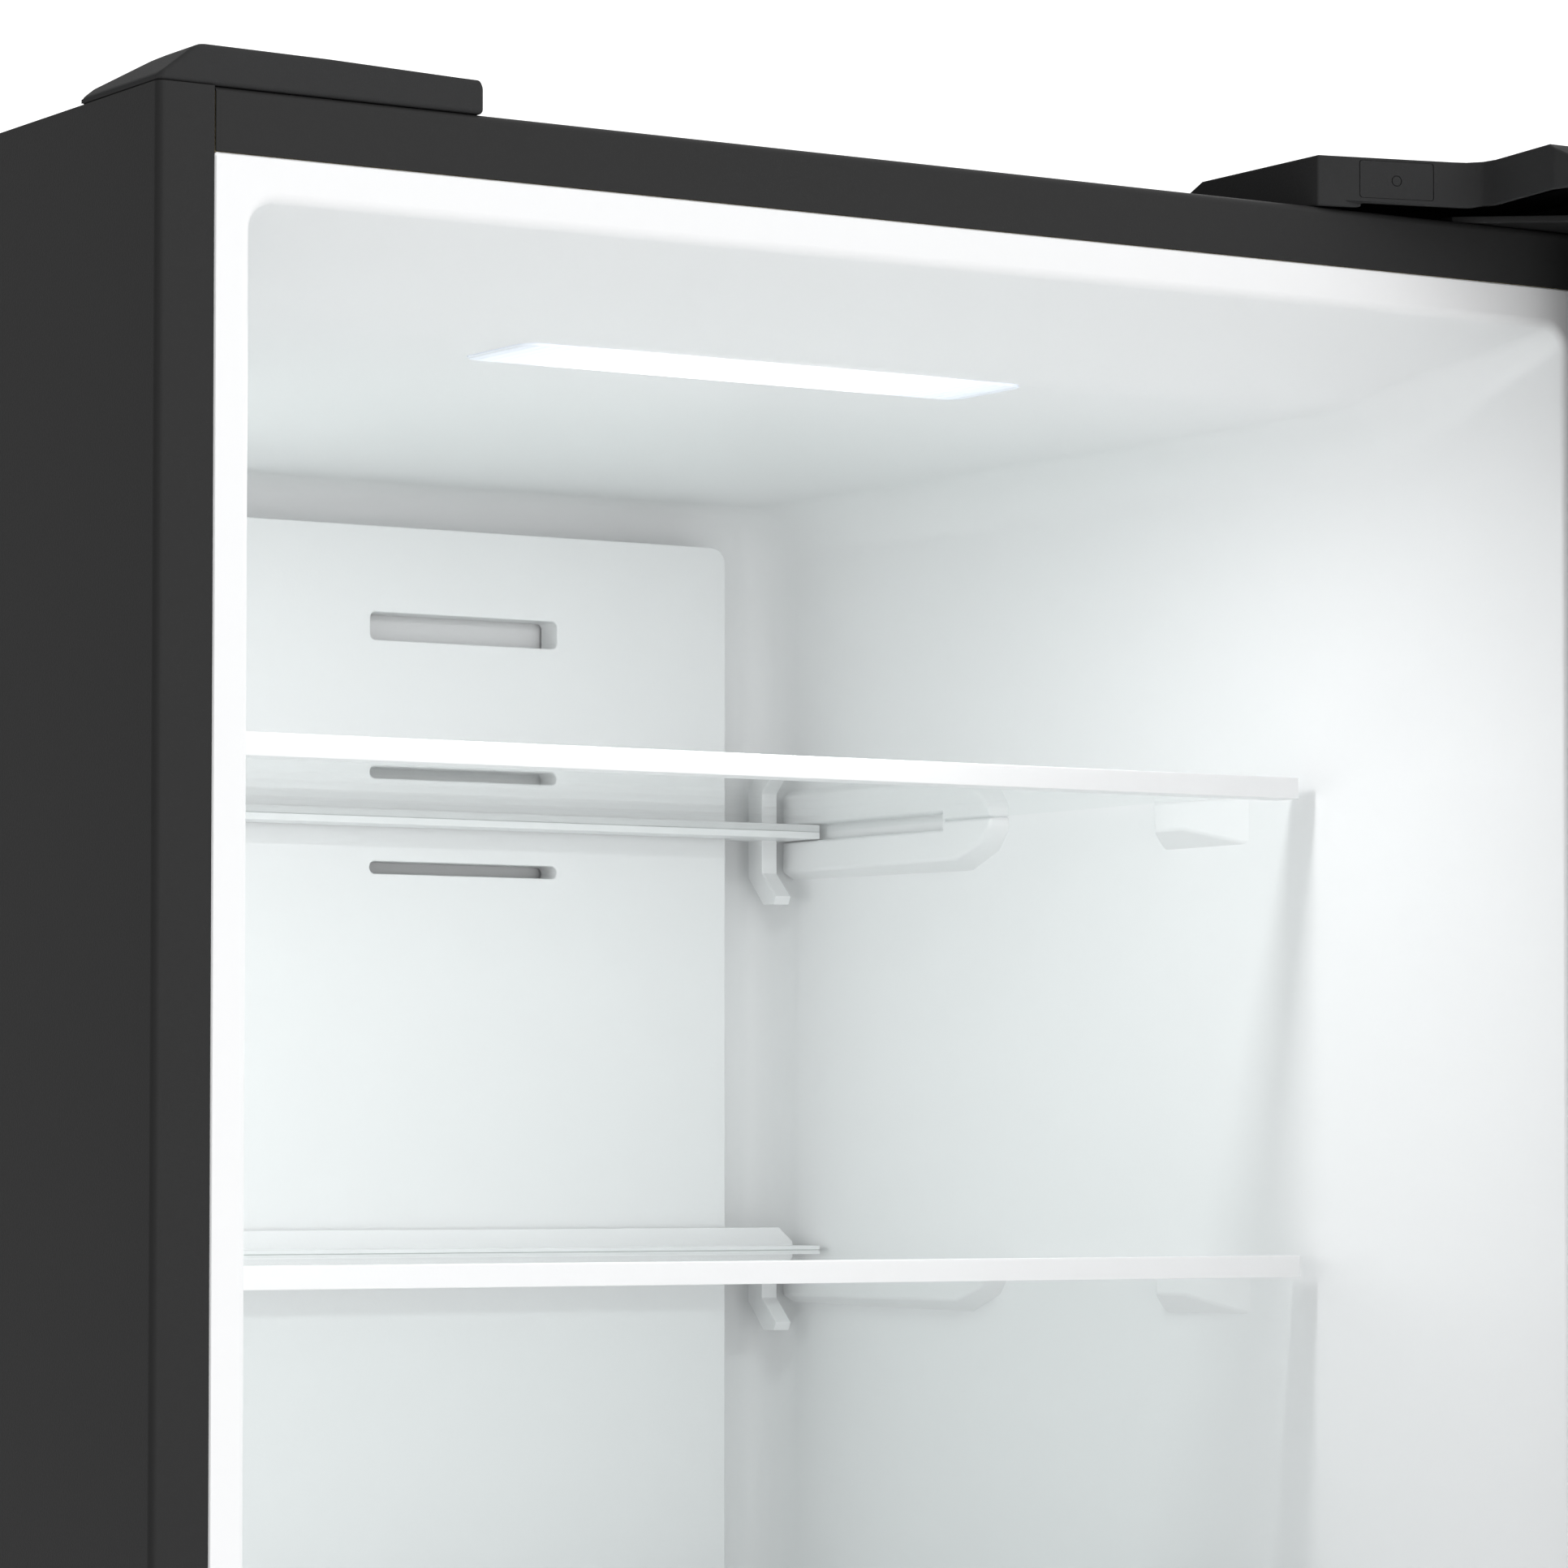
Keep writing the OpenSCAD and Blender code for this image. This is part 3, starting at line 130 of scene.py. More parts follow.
surround = bpy.data.worlds.new("surround")
surround.use_nodes = True
bpy.context.scene.world = surround
backdrop = Value(surround.node_tree)
facing = backdrop.make("TexCoord", {}, {}, "Generated")
sideways = facing.make("SeparateXYZ", {}, {"Vector": facing}, "X")
side_shades = [(0.0, (0.20, 0.20, 0.20)), (0.30, (0.27, 0.27, 0.27)), (0.5, (1, 1, 1))]
shade = sideways.make("ValToRGB", {"stops": side_shades}, {"Fac": sideways * 0.5 + 0.5}, "Color")
surround.node_tree.links.new(shade.socket, surround.node_tree.nodes["Background"].inputs["Color"])
surround.node_tree.nodes["Background"].inputs["Strength"].default_value = 1.32


def soft_light(name, place, target, size, watts):
    """White area light of that size in metres, which faces its target"""
    light = bpy.data.lights.new(name, "AREA")
    light.shape = "RECTANGLE"
    light.size, light.size_y = size
    light.energy = watts
    lamp = bpy.data.objects.new(name, light)
    lamp.location = place
    lamp.rotation_euler = (Vector(target) - Vector(place)).to_track_quat("-Z", "Y").to_euler()
    bpy.context.scene.collection.objects.link(lamp)


soft_light("front_light", (-0.45, -4.3, 1.1), (0, 0, 1.25), (3.0, 2.2), 26)
soft_light("left_fill", (-0.298, 0.14, 1.36), (0.3, 0.14, 1.36), (0.28, 0.34), 0.48)
finishes = {}


def new_finish(slot, **constants):
    """Starts the material of one slot. Returns its place in the object and its Principled node's setter."""
    material = bpy.data.materials.new("finish_" + slot)
    material.use_nodes = True
    tree = material.node_tree
    tree.nodes.clear()
    shader = tree.nodes.new("ShaderNodeBsdfPrincipled")
    output = tree.nodes.new("ShaderNodeOutputMaterial")
    tree.links.new(shader.outputs[0], output.inputs["Surface"])
    for name, value in constants.items():
        shader.inputs[name.replace("_", " ")].default_value = value
    place = Value(tree).make("TexCoord", {}, {}, "Object")
    finishes[slot] = material

    def feed(name, value):
        tree.links.new(value.socket, shader.inputs[name])

    return place, feed


def noise(place, size, detail=2.0):
    """Soft random mottle whose spots are about size metres across"""
    return place.make("TexNoise", {}, {"Vector": place, "Scale": 1 / size, "Detail": detail})


def tint(place, mask, dark, light):
    """Colour that goes from dark to light as mask goes from 0 to 1"""
    return place.make("Mix", {"data_type": "RGBA"}, {0: mask, 6: (*dark, 1), 7: (*light, 1)}, 2)


def relief(place, height, depth):
    """Bump of that depth in metres"""
    return place.make("Bump", {}, {"Height": height, "Distance": depth, "Strength": 1.0})


place, feed = new_finish("floor", Roughness=0.7, Specular_IOR_Level=0.2)
feed("Base Color", tint(place, noise(place, 0.8), (0.90, 0.90, 0.90), (0.94, 0.94, 0.94)))
bpy.ops.mesh.primitive_plane_add(size=24, location=(0, 0, 0))
floor = bpy.context.object
floor.name = "floor"
floor.data.materials.append(finishes["floor"])

# ---- Painted cabinet sheets ----
# Two side panels and a top panel of thin coated steel, folded over at the front into dark flanges.
# The divider rail and the base plate carry the same fine-textured charcoal coating.
place, feed = new_finish("cabinet_paint", Specular_IOR_Level=0.12)
grain = noise(place, 0.0009, 3)
cloud = noise(place, 0.35)
feed("Base Color", tint(place, cloud, (0.0262, 0.0262, 0.0264), (0.0288, 0.0288, 0.0290)))
feed("Roughness", 0.46 + 0.1 * grain)
feed("Normal", relief(place, grain, 0.00006))


def coat(slot, *nodes):
    """Gives CAD nodes that keep their own mesh the finish of a slot"""
    for node in nodes:
        for holder in frame["nodes"][node].material_slots:
            holder.material = finishes[slot]


coat("cabinet_paint", "side_panel_left", "side_panel_right", "top_panel", "divider_rail", "base_plate")

# ---- Back sheet ----
# A plain galvanised sheet with a grey primer closes the back of the cabinet behind the foam. The
# condenser is fixed to it.
place, feed = new_finish("back_sheet", Metallic=0.5)
spangle = place.make("TexVoronoi", {}, {"Vector": place, "Scale": 90.0}, "Distance")
feed("Base Color", tint(place, spangle, (0.25, 0.255, 0.265), (0.33, 0.335, 0.345)))
feed("Roughness", 0.42 + 0.15 * spangle)
coat("back_sheet", "back_panel")

# ---- Foam ----
# Polyurethane foam fills the walls and doors between the sheets and the liners. It is blown in as a
# liquid, so it is one solid with fine closed cells.
place, feed = new_finish("foam", Roughness=0.9, Specular_IOR_Level=0.1)
cells = place.make("TexVoronoi", {}, {"Vector": place, "Scale": 700.0}, "Distance")
feed("Base Color", tint(place, cells, (0.60, 0.50, 0.28), (0.80, 0.71, 0.46)))
feed("Normal", relief(place, cells, 0.0004))
coat("foam", "cabinet_foam", "freezer_door_foam", "fresh_door_foam")

# ---- Freezer liner ----
# One sheet of white styrene, vacuum formed over a mould: a flat rim round the opening, walls that lean in
# to the back, a ceiling that slopes down behind the rim, and side rails and bosses for the shelves.
place, feed = new_finish("white_liner", Specular_IOR_Level=0.45, Coat_Roughness=0.2)
peel = noise(place, 0.004, 2)
blush = noise(place, 0.22, 1)
feed("Base Color", tint(place, blush, (0.912, 0.918, 0.924), (0.924, 0.928, 0.933)))
feed("Roughness", 0.34 + 0.08 * peel)
feed("Normal", relief(place, peel, 0.00005))

corner_steps = 8


def ring(half, low, high, radius, y):
    """Rounded rectangle in the X-Z plane at a depth y"""
    points = []
    corners = [(half - radius, high - radius), (radius - half, high - radius),
               (radius - half, low + radius), (half - radius, low + radius)]
    for quarter, (x, z) in enumerate(corners):
        for step in range(corner_steps + 1):
            angle = math.pi / 2 * (quarter + step / corner_steps)
            points.append(Vector((x + radius * math.cos(angle), y, z + radius * math.sin(angle))))
    return points


def loft(rings, closed=False, cap=False):
    """Skin over a row of rings. closed joins the last ring to the first, and cap fills the last one."""
    mesh = bmesh.new()
    rows = [[mesh.verts.new(point) for point in row] for row in rings]
    pairs = list(zip(rows, rows[1:] + rows[:1] if closed else rows[1:]))
    for first, second in pairs:
        count = len(first)
        for i in range(count):
            j = (i + 1) % count
            mesh.faces.new((first[i], first[j], second[j], second[i]))
    if cap:
        mesh.faces.new(rows[-1])
    return mesh


def solid(rings):
    """Closed skin over a row of rings"""
    mesh = loft(rings, cap=True)
    mesh.verts.ensure_lookup_table()
    mesh.faces.new([mesh.verts[i] for i in range(len(rings[0]))])
    bmesh.ops.recalc_face_normals(mesh, faces=mesh.faces)
    return mesh


def block(low, high):
    """Box between two corners"""
    mesh = bmesh.new()
    bmesh.ops.create_cube(mesh, size=1)
    low, high = Vector(low), Vector(high)
    bmesh.ops.scale(mesh, vec=high - low, verts=mesh.verts)
    bmesh.ops.translate(mesh, vec=(low + high) / 2, verts=mesh.verts)
    return mesh


def part(name, mesh):
    """New object with that mesh, which it takes over"""
    if isinstance(mesh, bmesh.types.BMesh):
        data = bpy.data.meshes.new(name)
        mesh.to_mesh(data)
        mesh.free()
        mesh = data
    item = bpy.data.objects.new(name, mesh)
    bpy.context.scene.collection.objects.link(item)
    return item


def applied(item):
    """Writes an object's modifiers into its mesh"""
    bpy.context.view_layer.update()
    item.data = bpy.data.meshes.new_from_object(item.evaluated_get(bpy.context.evaluated_depsgraph_get()))
    item.modifiers.clear()


def carve(item, cutter):
    """Cuts one solid out of another and removes the cutter"""
    cutter = part("cutter", cutter)
    change = item.modifiers.new("carve", "BOOLEAN")
    change.operation, change.object, change.solver = "DIFFERENCE", cutter, "EXACT"
    applied(item)
    bpy.data.objects.remove(cutter)


def rounded(item, radius, segments=3):
    """Rounds the edges of a solid that turn by more than 30 degrees, and shades it smooth"""
    mesh = bmesh.new()
    mesh.from_mesh(item.data)
    bmesh.ops.remove_doubles(mesh, verts=mesh.verts, dist=2e-6)
    bmesh.ops.dissolve_limit(mesh, angle_limit=math.radians(0.4), verts=mesh.verts, edges=mesh.edges)
    bmesh.ops.dissolve_degenerate(mesh, edges=mesh.edges, dist=2e-6)
    mesh.to_mesh(item.data)
    mesh.free()
    edge = item.modifiers.new("edge", "BEVEL")
    edge.width, edge.segments = radius, segments
    edge.limit_method, edge.angle_limit = "ANGLE", math.radians(30)
    edge.use_clamp_overlap = False
    applied(item)
    smooth(item, 40)
    return item


def smooth(item, sharp, weighted=True):
    """Shades a mesh smooth but for edges that turn by more than sharp degrees"""
    mesh = bmesh.new()
    mesh.from_mesh(item.data)
    for face in mesh.faces:
        face.smooth = True
    for edge in mesh.edges:
        edge.smooth = len(edge.link_faces) == 2 and edge.calc_face_angle(0) < math.radians(sharp)
    mesh.to_mesh(item.data)
    mesh.free()
    if weighted:
        weigh = item.modifiers.new("weigh", "WEIGHTED_NORMAL")
        weigh.keep_sharp = True
        applied(item)


def fit(item, body, slot, *nodes):
    """Finishes a piece: its material, the body that it moves with and the CAD nodes that it stands for"""
    item.data.materials.clear()
    item.data.materials.append(finishes[slot])
    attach(item, body)
    if nodes:
        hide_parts(*nodes)
    return item


liner_t = 0.002
rim_gap = 0.0003
rim_soft = 0.0006
rim_corner = 0.0012
rim_side = 0.0153
rim_end = 0.0165
rim_edge = 0.0035
freezer_low, freezer_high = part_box("freezer_liner")
opening_half = freezer_high.x + rim_gap - rim_side
freezer_floor = freezer_low.z - rim_gap + rim_end
freezer_top = freezer_high.z + rim_gap - rim_end
inside_d = 0.606
wall_draft = 0.011
opening_r = 0.0105
inner_r = 0.026
back_r = 0.022
growth_d = 0.09
ceiling_drop = 0.024
ceiling_run = 0.120
ceiling_bend = [ceiling_run + 0.004 * step for step in range(-3, 4)]
ceiling_z = freezer_top - ceiling_drop
formed_sharp = 42
support_r = 0.0016


def wall_x(depth):
    """Half width between the side walls at a depth behind the cabinet front"""
    return opening_half - wall_draft * depth / inside_d


def ceiling_at(depth):
    """Height of the freezer ceiling: a slope that eases into a flat"""
    ease = 0.1 * ceiling_run
    if depth < ceiling_run - ease:
        return freezer_top - ceiling_drop * depth / ceiling_run
    if depth > ceiling_run + ease:
        return ceiling_z
    left = ceiling_run + ease - depth
    return ceiling_z + ceiling_drop / ceiling_run * left * left / (4 * ease)


def compartment(low, high, height_at, floor=((0.4, 0), (0.5, 0))):
    """Inside face of a liner from the edge of its rim to its back wall. floor lists depths and rises."""
    rows = [ring(opening_half + rim_side - inset, low - rim_end + inset, high + rim_end - inset, rim_corner,
                 front_y + depth)
            for inset, depth in ((rim_gap, liner_t), (rim_gap, rim_soft), (rim_gap + rim_soft, 0))]
    for step in range(6):
        angle = math.radians(18 * step)
        out = rim_edge * (1 - math.sin(angle))
        depth = rim_edge * (1 - math.cos(angle))
        rows.append(ring(wall_x(depth) + out, low - out, height_at(depth) + out, opening_r + out,
                         front_y + depth))
    level = [(depth, 0) for depth in (0.012, 0.022, 0.035, 0.05, 0.07, growth_d, *ceiling_bend, 0.2, 0.3)]
    highest = floor[-1][1]
    for depth, rise in [*level, *floor, (inside_d - back_r, highest)]:
        grown = min(1, depth / growth_d)
        radius = opening_r + (inner_r - opening_r) * grown * grown * (3 - 2 * grown)
        rows.append(ring(wall_x(depth), low + rise, height_at(depth), radius, front_y + depth))
    low += highest
    for step in range(1, 9):
        angle = math.radians(90 * step / 8)
        depth = inside_d - back_r * (1 - math.sin(angle))
        inset = back_r * (1 - math.cos(angle))
        rows.append(ring(wall_x(inside_d - back_r) - inset, low + inset, height_at(depth) - inset,
                         inner_r - inset, front_y + depth))
    return rows


def shell(name, rows):
    """Closed sheet of liner thickness behind a compartment's inside face"""
    mesh = loft(rows, cap=True)
    bmesh.ops.recalc_face_normals(mesh, faces=mesh.faces)
    item = part(name, mesh)
    wall = item.modifiers.new("wall", "SOLIDIFY")
    wall.thickness, wall.offset, wall.use_even_offset = liner_t, -1, True
    applied(item)
    return item


def shelf_rail(side, z):
    """Moulded rail at the back of a side wall, whose underside and ends lean in to its face"""
    start, step, end, drop, height, out = 0.401, 0.445, 0.588, 0.004, 0.025, 0.006
    wall = [(start, 0), (step, 0), (step, -drop), (end, -drop), (end, -height), (start + 0.030, -height),
            (start + 0.008, -0.016), (start, -0.006)]
    face = [(start + 0.002, 0), (step, 0), (step, -drop), (end, -drop), (end, 0.006 - height),
            (start + 0.033, 0.006 - height), (start + 0.012, -0.012), (start + 0.004, -0.005)]
    face_x = wall_x(end) - out
    return solid([[Vector((side * x, front_y + y, z + h)) for y, h in outline]
                  for x, outline in ((wall_x(start) + 0.001, wall), (face_x, face))])


def shelf_boss(side, z):
    """Moulded wedge near the front of a side wall that a shelf rests on"""
    start, end, out, height = 0.212, 0.280, 0.009, 0.022
    face_x = wall_x(end) - out
    top = [(wall_x(start) + 0.001, start), (face_x, end - 0.026), (face_x, end - 0.004),
           (face_x + 0.004, end), (wall_x(end) + 0.001, end)]
    low = [(wall_x(start) + 0.001, start), (face_x + 0.001, end - 0.027), (face_x + 0.001, end - 0.004),
           (face_x + 0.005, end), (wall_x(end) + 0.001, end)]
    drops = [height, 0.013, 0.013, 0.014, height]
    mesh = solid([[Vector((side * x, front_y + y, z)) for x, y in top],
                  [Vector((side * x, front_y + y, z - drop)) for (x, y), drop in zip(low, drops)]])
    bmesh.ops.triangulate(mesh, faces=[face for face in mesh.faces if len(face.verts) > 4])
    return mesh


upper_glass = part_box("upper_shelf_glass")
lower_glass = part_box("lower_shelf_glass")
cover_low, cover_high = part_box("evaporator_cover")
lens_low, lens_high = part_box("ceiling_lamp_lens")
back_y = front_y + inside_d
pocket_d = 0.026
pocket_half = cover_high.x - 0.024
pocket_low, pocket_high = freezer_floor + 0.024, cover_high.z - 0.014
lens_r = 0.008
lens_play = 0.0003
lens_hole_half = 0.0265


def joined(name, *items):
    """One object out of several"""
    mesh = bmesh.new()
    for item in items:
        mesh.from_mesh(item.data)
        bpy.data.objects.remove(item)
    return part(name, mesh)


freezer_liner = shell("freezer_liner_moulded", compartment(freezer_floor, freezer_top, ceiling_at))
carve(freezer_liner, block((-pocket_half, back_y - 0.01, pocket_low),
                           (pocket_half, back_y + 0.01, pocket_high)))
lens_middle = (lens_low + lens_high) / 2
lens_hole = solid([ring(lens_high.x + lens_play, -lens_hole_half, lens_hole_half, lens_r, y)
                   for y in (-0.02, 0.02)])
upright = Matrix.Translation((0, lens_middle.y, ceiling_z)) @ Matrix.Rotation(math.pi / 2, 4, "X")
bmesh.ops.transform(lens_hole, matrix=upright, verts=lens_hole.verts)
carve(freezer_liner, lens_hole)
pocket = part("pocket", block((-pocket_half - liner_t, back_y, pocket_low - liner_t),
                              (pocket_half + liner_t, back_y + pocket_d + liner_t, pocket_high + liner_t)))
carve(pocket, block((-pocket_half, front_y, pocket_low), (pocket_half, back_y + pocket_d, pocket_high)))
smooth(freezer_liner, formed_sharp)
supports = [rounded(part("support", shape(side, glass[0].z)), support_r)
            for shape in (shelf_rail, shelf_boss) for side in (-1, 1) for glass in (upper_glass, lower_glass)]
freezer_liner = joined("freezer_liner_formed", freezer_liner, pocket, *supports)
smooth(freezer_liner, formed_sharp)
fit(freezer_liner, "cabinet", "white_liner", "freezer_liner")


def softened(node, radius, slot, segments=3):
    """Copy of a CAD node with its moulded or deburred edges rounded, which stands for the node"""
    source = frame["nodes"][node]
    item = rounded(part(node + "_finished", source.data.copy()), radius, segments)
    return fit(item, source["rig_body"], slot, node)


# ---- Fresh food liner ----
# The same white sheet in a deeper mould, with a step over the compressor and ledges along both side walls
# that carry the shelves and the crisper lid.
fresh_low, fresh_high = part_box("fresh_liner")
fresh_floor = fresh_low.z - rim_gap + rim_end
fresh_top = fresh_high.z + rim_gap - rim_end
step_depth = 0.376
step_rise = 0.289 - fresh_floor
step_r = 0.010
ledge_start = 0.150
ledge_slant = 0.012
ledge_out = 0.008
ledge_h = 0.010
lid_ledge_z, lower_ledge_z, upper_ledge_z = 0.304, 0.522, 0.737


def shelf_ledge(side, z, end):
    """Moulded ledge along a side wall, with a slanted front end"""
    face_x = wall_x(inside_d) - ledge_out
    outline = [(wall_x(ledge_start) + liner_t / 2, ledge_start), (face_x, ledge_start + ledge_slant),
               (face_x, end), (wall_x(end) + liner_t / 2, end)]
    return solid([[Vector((side * x, front_y + y, z + h)) for x, y in outline] for h in (0, -ledge_h)])


turns = [math.radians(15 * turn) for turn in range(7)]
step_floor = [(step_depth - step_r + step_r * math.sin(turn), step_r * (1 - math.cos(turn)))
              for turn in turns]
step_floor += [(step_depth + step_r * (1 - math.cos(turn)), step_rise - step_r + step_r * math.sin(turn))
               for turn in turns]
step_floor += [(0.45, step_rise), (0.52, step_rise)]
fresh_liner = shell("fresh_liner_moulded",
                    compartment(fresh_floor, fresh_top, lambda depth: fresh_top, step_floor))
smooth(fresh_liner, formed_sharp)
ledges = [rounded(part("ledge", shelf_ledge(side, z, end)), support_r) for side in (-1, 1)
          for z, end in ((lid_ledge_z, step_depth), (lower_ledge_z, inside_d - back_r),
                         (upper_ledge_z, inside_d - back_r))]
fresh_liner = joined("fresh_liner_formed", fresh_liner, *ledges)
smooth(fresh_liner, formed_sharp)
fit(fresh_liner, "cabinet", "white_liner", "fresh_liner")

# ---- Evaporator cover ----
# A shallow moulded tray that clips over the evaporator. Cold air leaves through collared slots on both
# sides and returns through a row of short slots at the bottom.
place, feed = new_finish("white_trim", Specular_IOR_Level=0.5)
haze = noise(place, 0.0016, 2)
feed("Base Color", tint(place, noise(place, 0.15, 1), (0.905, 0.911, 0.917), (0.920, 0.925, 0.930)))
feed("Roughness", 0.30 + 0.10 * haze)
feed("Normal", relief(place, haze, 0.00003))
softened("evaporator_cover", 0.0008, "white_trim")
duct_half = cover_high.x - 0.02
duct_front, duct_t = cover_low.y + 0.0185, 0.005
duct = part("air_duct_foam", block((-duct_half, duct_front, upper_glass[0].z - 0.06),
                                   (duct_half, duct_front + duct_t, cover_high.z - 0.03)))
rounded(duct, 0.0015)
fit(duct, "cabinet", "white_trim")

# ---- Evaporator, fan and motor ----
# A finned aluminium tube bundle hangs in the pocket behind the cover, with a small axial fan above it
# that a sealed motor turns.
place, feed = new_finish("fin_aluminium", Metallic=1.0)
rolled = noise(place, 0.002, 3)
feed("Base Color", tint(place, rolled, (0.62, 0.63, 0.65), (0.80, 0.81, 0.83)))
feed("Roughness", 0.28 + 0.18 * rolled)
coat("fin_aluminium", "evaporator_coil")

place, feed = new_finish("black_plastic", Specular_IOR_Level=0.04)
sparkle = noise(place, 0.0007, 3)
feed("Base Color", tint(place, noise(place, 0.06), (0.0375, 0.0377, 0.0383), (0.0410, 0.0412, 0.0418)))
feed("Roughness", 0.6 + 0.16 * sparkle)
feed("Normal", relief(place, sparkle, 0.00009))
softened("fan_motor", 0.0008, "black_plastic")

blade_count = 5
fan_low, fan_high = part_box("evaporator_fan")
fan_middle = (fan_low + fan_high) / 2
fan_r = 0.044
hub_r = 0.012
hub_front, hub_back = fan_low.y + 0.002, fan_low.y + 0.017


def fan_wheel():
    """Moulded axial fan: a domed hub on a stub shaft and twisted, swept blades"""
    mesh = bmesh.new()
    profile = [(0.0, hub_front), (0.007, hub_front + 0.0004), (hub_r - 0.001, hub_front + 0.002),
               (hub_r, hub_front + 0.004), (hub_r, hub_back), (0.0022, hub_back), (0.002, fan_high.y - 0.001),
               (0.0, fan_high.y - 0.001)]
    ends = [mesh.verts.new((0, y, 0)) for _, y in (profile[0], profile[-1])]
    turns = 32
    rows = [[mesh.verts.new((r * math.cos(a), y, r * math.sin(a)))
             for a in (2 * math.pi * k / turns for k in range(turns))] for r, y in profile[1:-1]]
    for first, second in zip(rows, rows[1:]):
        for k in range(turns):
            mesh.faces.new((first[k], first[(k + 1) % turns], second[(k + 1) % turns], second[k]))
    for end, row in ((ends[0], rows[0]), (ends[1], rows[-1])):
        for k in range(turns):
            mesh.faces.new((end, row[k], row[(k + 1) % turns]))
    for blade in range(blade_count):
        spans, chords, thick = 7, 7, 0.0009
        sheets = []
        for face in (-1, 1):
            grid = []
            for i in range(spans):
                share = i / (spans - 1)
                radius = hub_r - 0.002 + (fan_r - hub_r + 0.002) * share
                pitch = math.radians(46 - 18 * share)
                chord = 0.014 + 0.016 * share
                row = []
                for j in range(chords):
                    along = (j / (chords - 1) - 0.5) * chord
                    camber = 0.0022 * (1 - (2 * j / (chords - 1) - 1) ** 2)
                    turn = 2 * math.pi * blade / blade_count + 0.22 * share + along * math.cos(pitch) / radius
                    depth = hub_back - 0.008 + along * math.sin(pitch) * 0.6 - camber + face * thick / 2
                    row.append(mesh.verts.new((radius * math.cos(turn), depth, radius * math.sin(turn))))
                grid.append(row)
            sheets.append(grid)
        for grid in sheets:
            for i in range(spans - 1):
                for j in range(chords - 1):
                    mesh.faces.new((grid[i][j], grid[i + 1][j], grid[i + 1][j + 1], grid[i][j + 1]))
        border = [(0, j) for j in range(chords)] + [(i, chords - 1) for i in range(1, spans)]
        border += [(spans - 1, j) for j in range(chords - 2, -1, -1)]
        border += [(i, 0) for i in range(spans - 2, 0, -1)]
        for (i, j), (m, n) in zip(border, border[1:] + border[:1]):
            mesh.faces.new((sheets[0][i][j], sheets[0][m][n], sheets[1][m][n], sheets[1][i][j]))
    bmesh.ops.recalc_face_normals(mesh, faces=mesh.faces)
    bmesh.ops.translate(mesh, vec=(fan_middle.x, 0, fan_middle.z), verts=mesh.verts)
    return mesh


fan = part("evaporator_fan_wheel", fan_wheel())
smooth(fan, 40)
fit(fan, "evaporator_fan", "white_trim", "evaporator_fan")

# ---- Ceiling lamp ----
# A strip of white diodes behind a frosted lens that snaps into the ceiling. It is brightest over the
# diodes in the middle and fades to its ends.
place, feed = new_finish("lamp_lens", Roughness=0.25, Emission_Strength=1.0)
across = place.make("SeparateXYZ", {}, {"Vector": place}, "X")
reach = across.math("ABSOLUTE", across) * (1 / lens_high.x)
ribs = place.make("TexWave", {"wave_type": "BANDS", "bands_direction": "X"}, {"Vector": place, "Scale": 60.0},
                  "Fac")
glow_stops = [(0.0, (1.5, 1.5, 1.5)), (0.55, (1.3, 1.32, 1.35)), (0.75, (0.42, 0.44, 0.5)),
              (0.93, (0.30, 0.33, 0.38)), (1.0, (0.12, 0.13, 0.15))]
glow = place.make("ValToRGB", {"stops": glow_stops}, {"Fac": reach}, "Color")
feed("Base Color", tint(place, reach, (0.86, 0.88, 0.91), (0.78, 0.81, 0.86)))
feed("Emission Color", glow)
feed("Normal", relief(place, ribs, 0.0002))
softened("ceiling_lamp_lens", 0.0006, "lamp_lens", 2)
softened("fresh_lamp_lens", 0.0006, "lamp_lens", 2)
soft_light("freezer_lamp", (0, lens_middle.y, lens_low.z - 0.003), (0, lens_middle.y, 0), (0.2, 0.04), 0.8)

# ---- Glass shelves ----
# Sheets of 4 mm toughened glass with ground edges, held in white trims that are moulded round the front
# and back edges. Two hooks behind each back trim keep the shelf from tipping.


def clear_finish(slot, see_through, body_colour, milkiness, roughness):
    """Clear sheet: light goes straight through but for the share that its surface throws back"""
    new_finish(slot, Roughness=roughness, Base_Color=(*body_colour, 1))
    material = finishes[slot]
    tree = Value(material.node_tree)
    shader = Value(tree.tree, material.node_tree.nodes["Principled BSDF"].outputs[0])
    clear = tree.make("BsdfTransparent", {}, {"Color": (*see_through, 1)})
    gloss = tree.make("BsdfGlossy", {}, {"Color": (1, 1, 1, 1), "Roughness": roughness})
    facing = tree.make("LayerWeight", {}, {"Blend": 0.5}, "Facing")
    mirror = 0.04 + 0.96 * facing.math("POWER", facing, 5.0)
    inside = tree.make("MixShader", {}, {0: milkiness, 1: clear, 2: shader})
    surface = tree.make("MixShader", {}, {0: mirror, 1: inside, 2: gloss})
    output = material.node_tree.nodes["Material Output"]
    material.node_tree.links.new(surface.socket, output.inputs["Surface"])


clear_finish("shelf_glass", (0.955, 0.975, 0.97), (0.80, 0.88, 0.87), 0.02, 0.02)
for node in ("upper_shelf_glass", "lower_shelf_glass", "fresh_shelf_glasses"):
    softened(node, 0.0005, "shelf_glass", 2)
for node in ("upper_shelf_trims", "lower_shelf_trims", "fresh_shelf_trims"):
    softened(node, 0.00045, "white_trim")

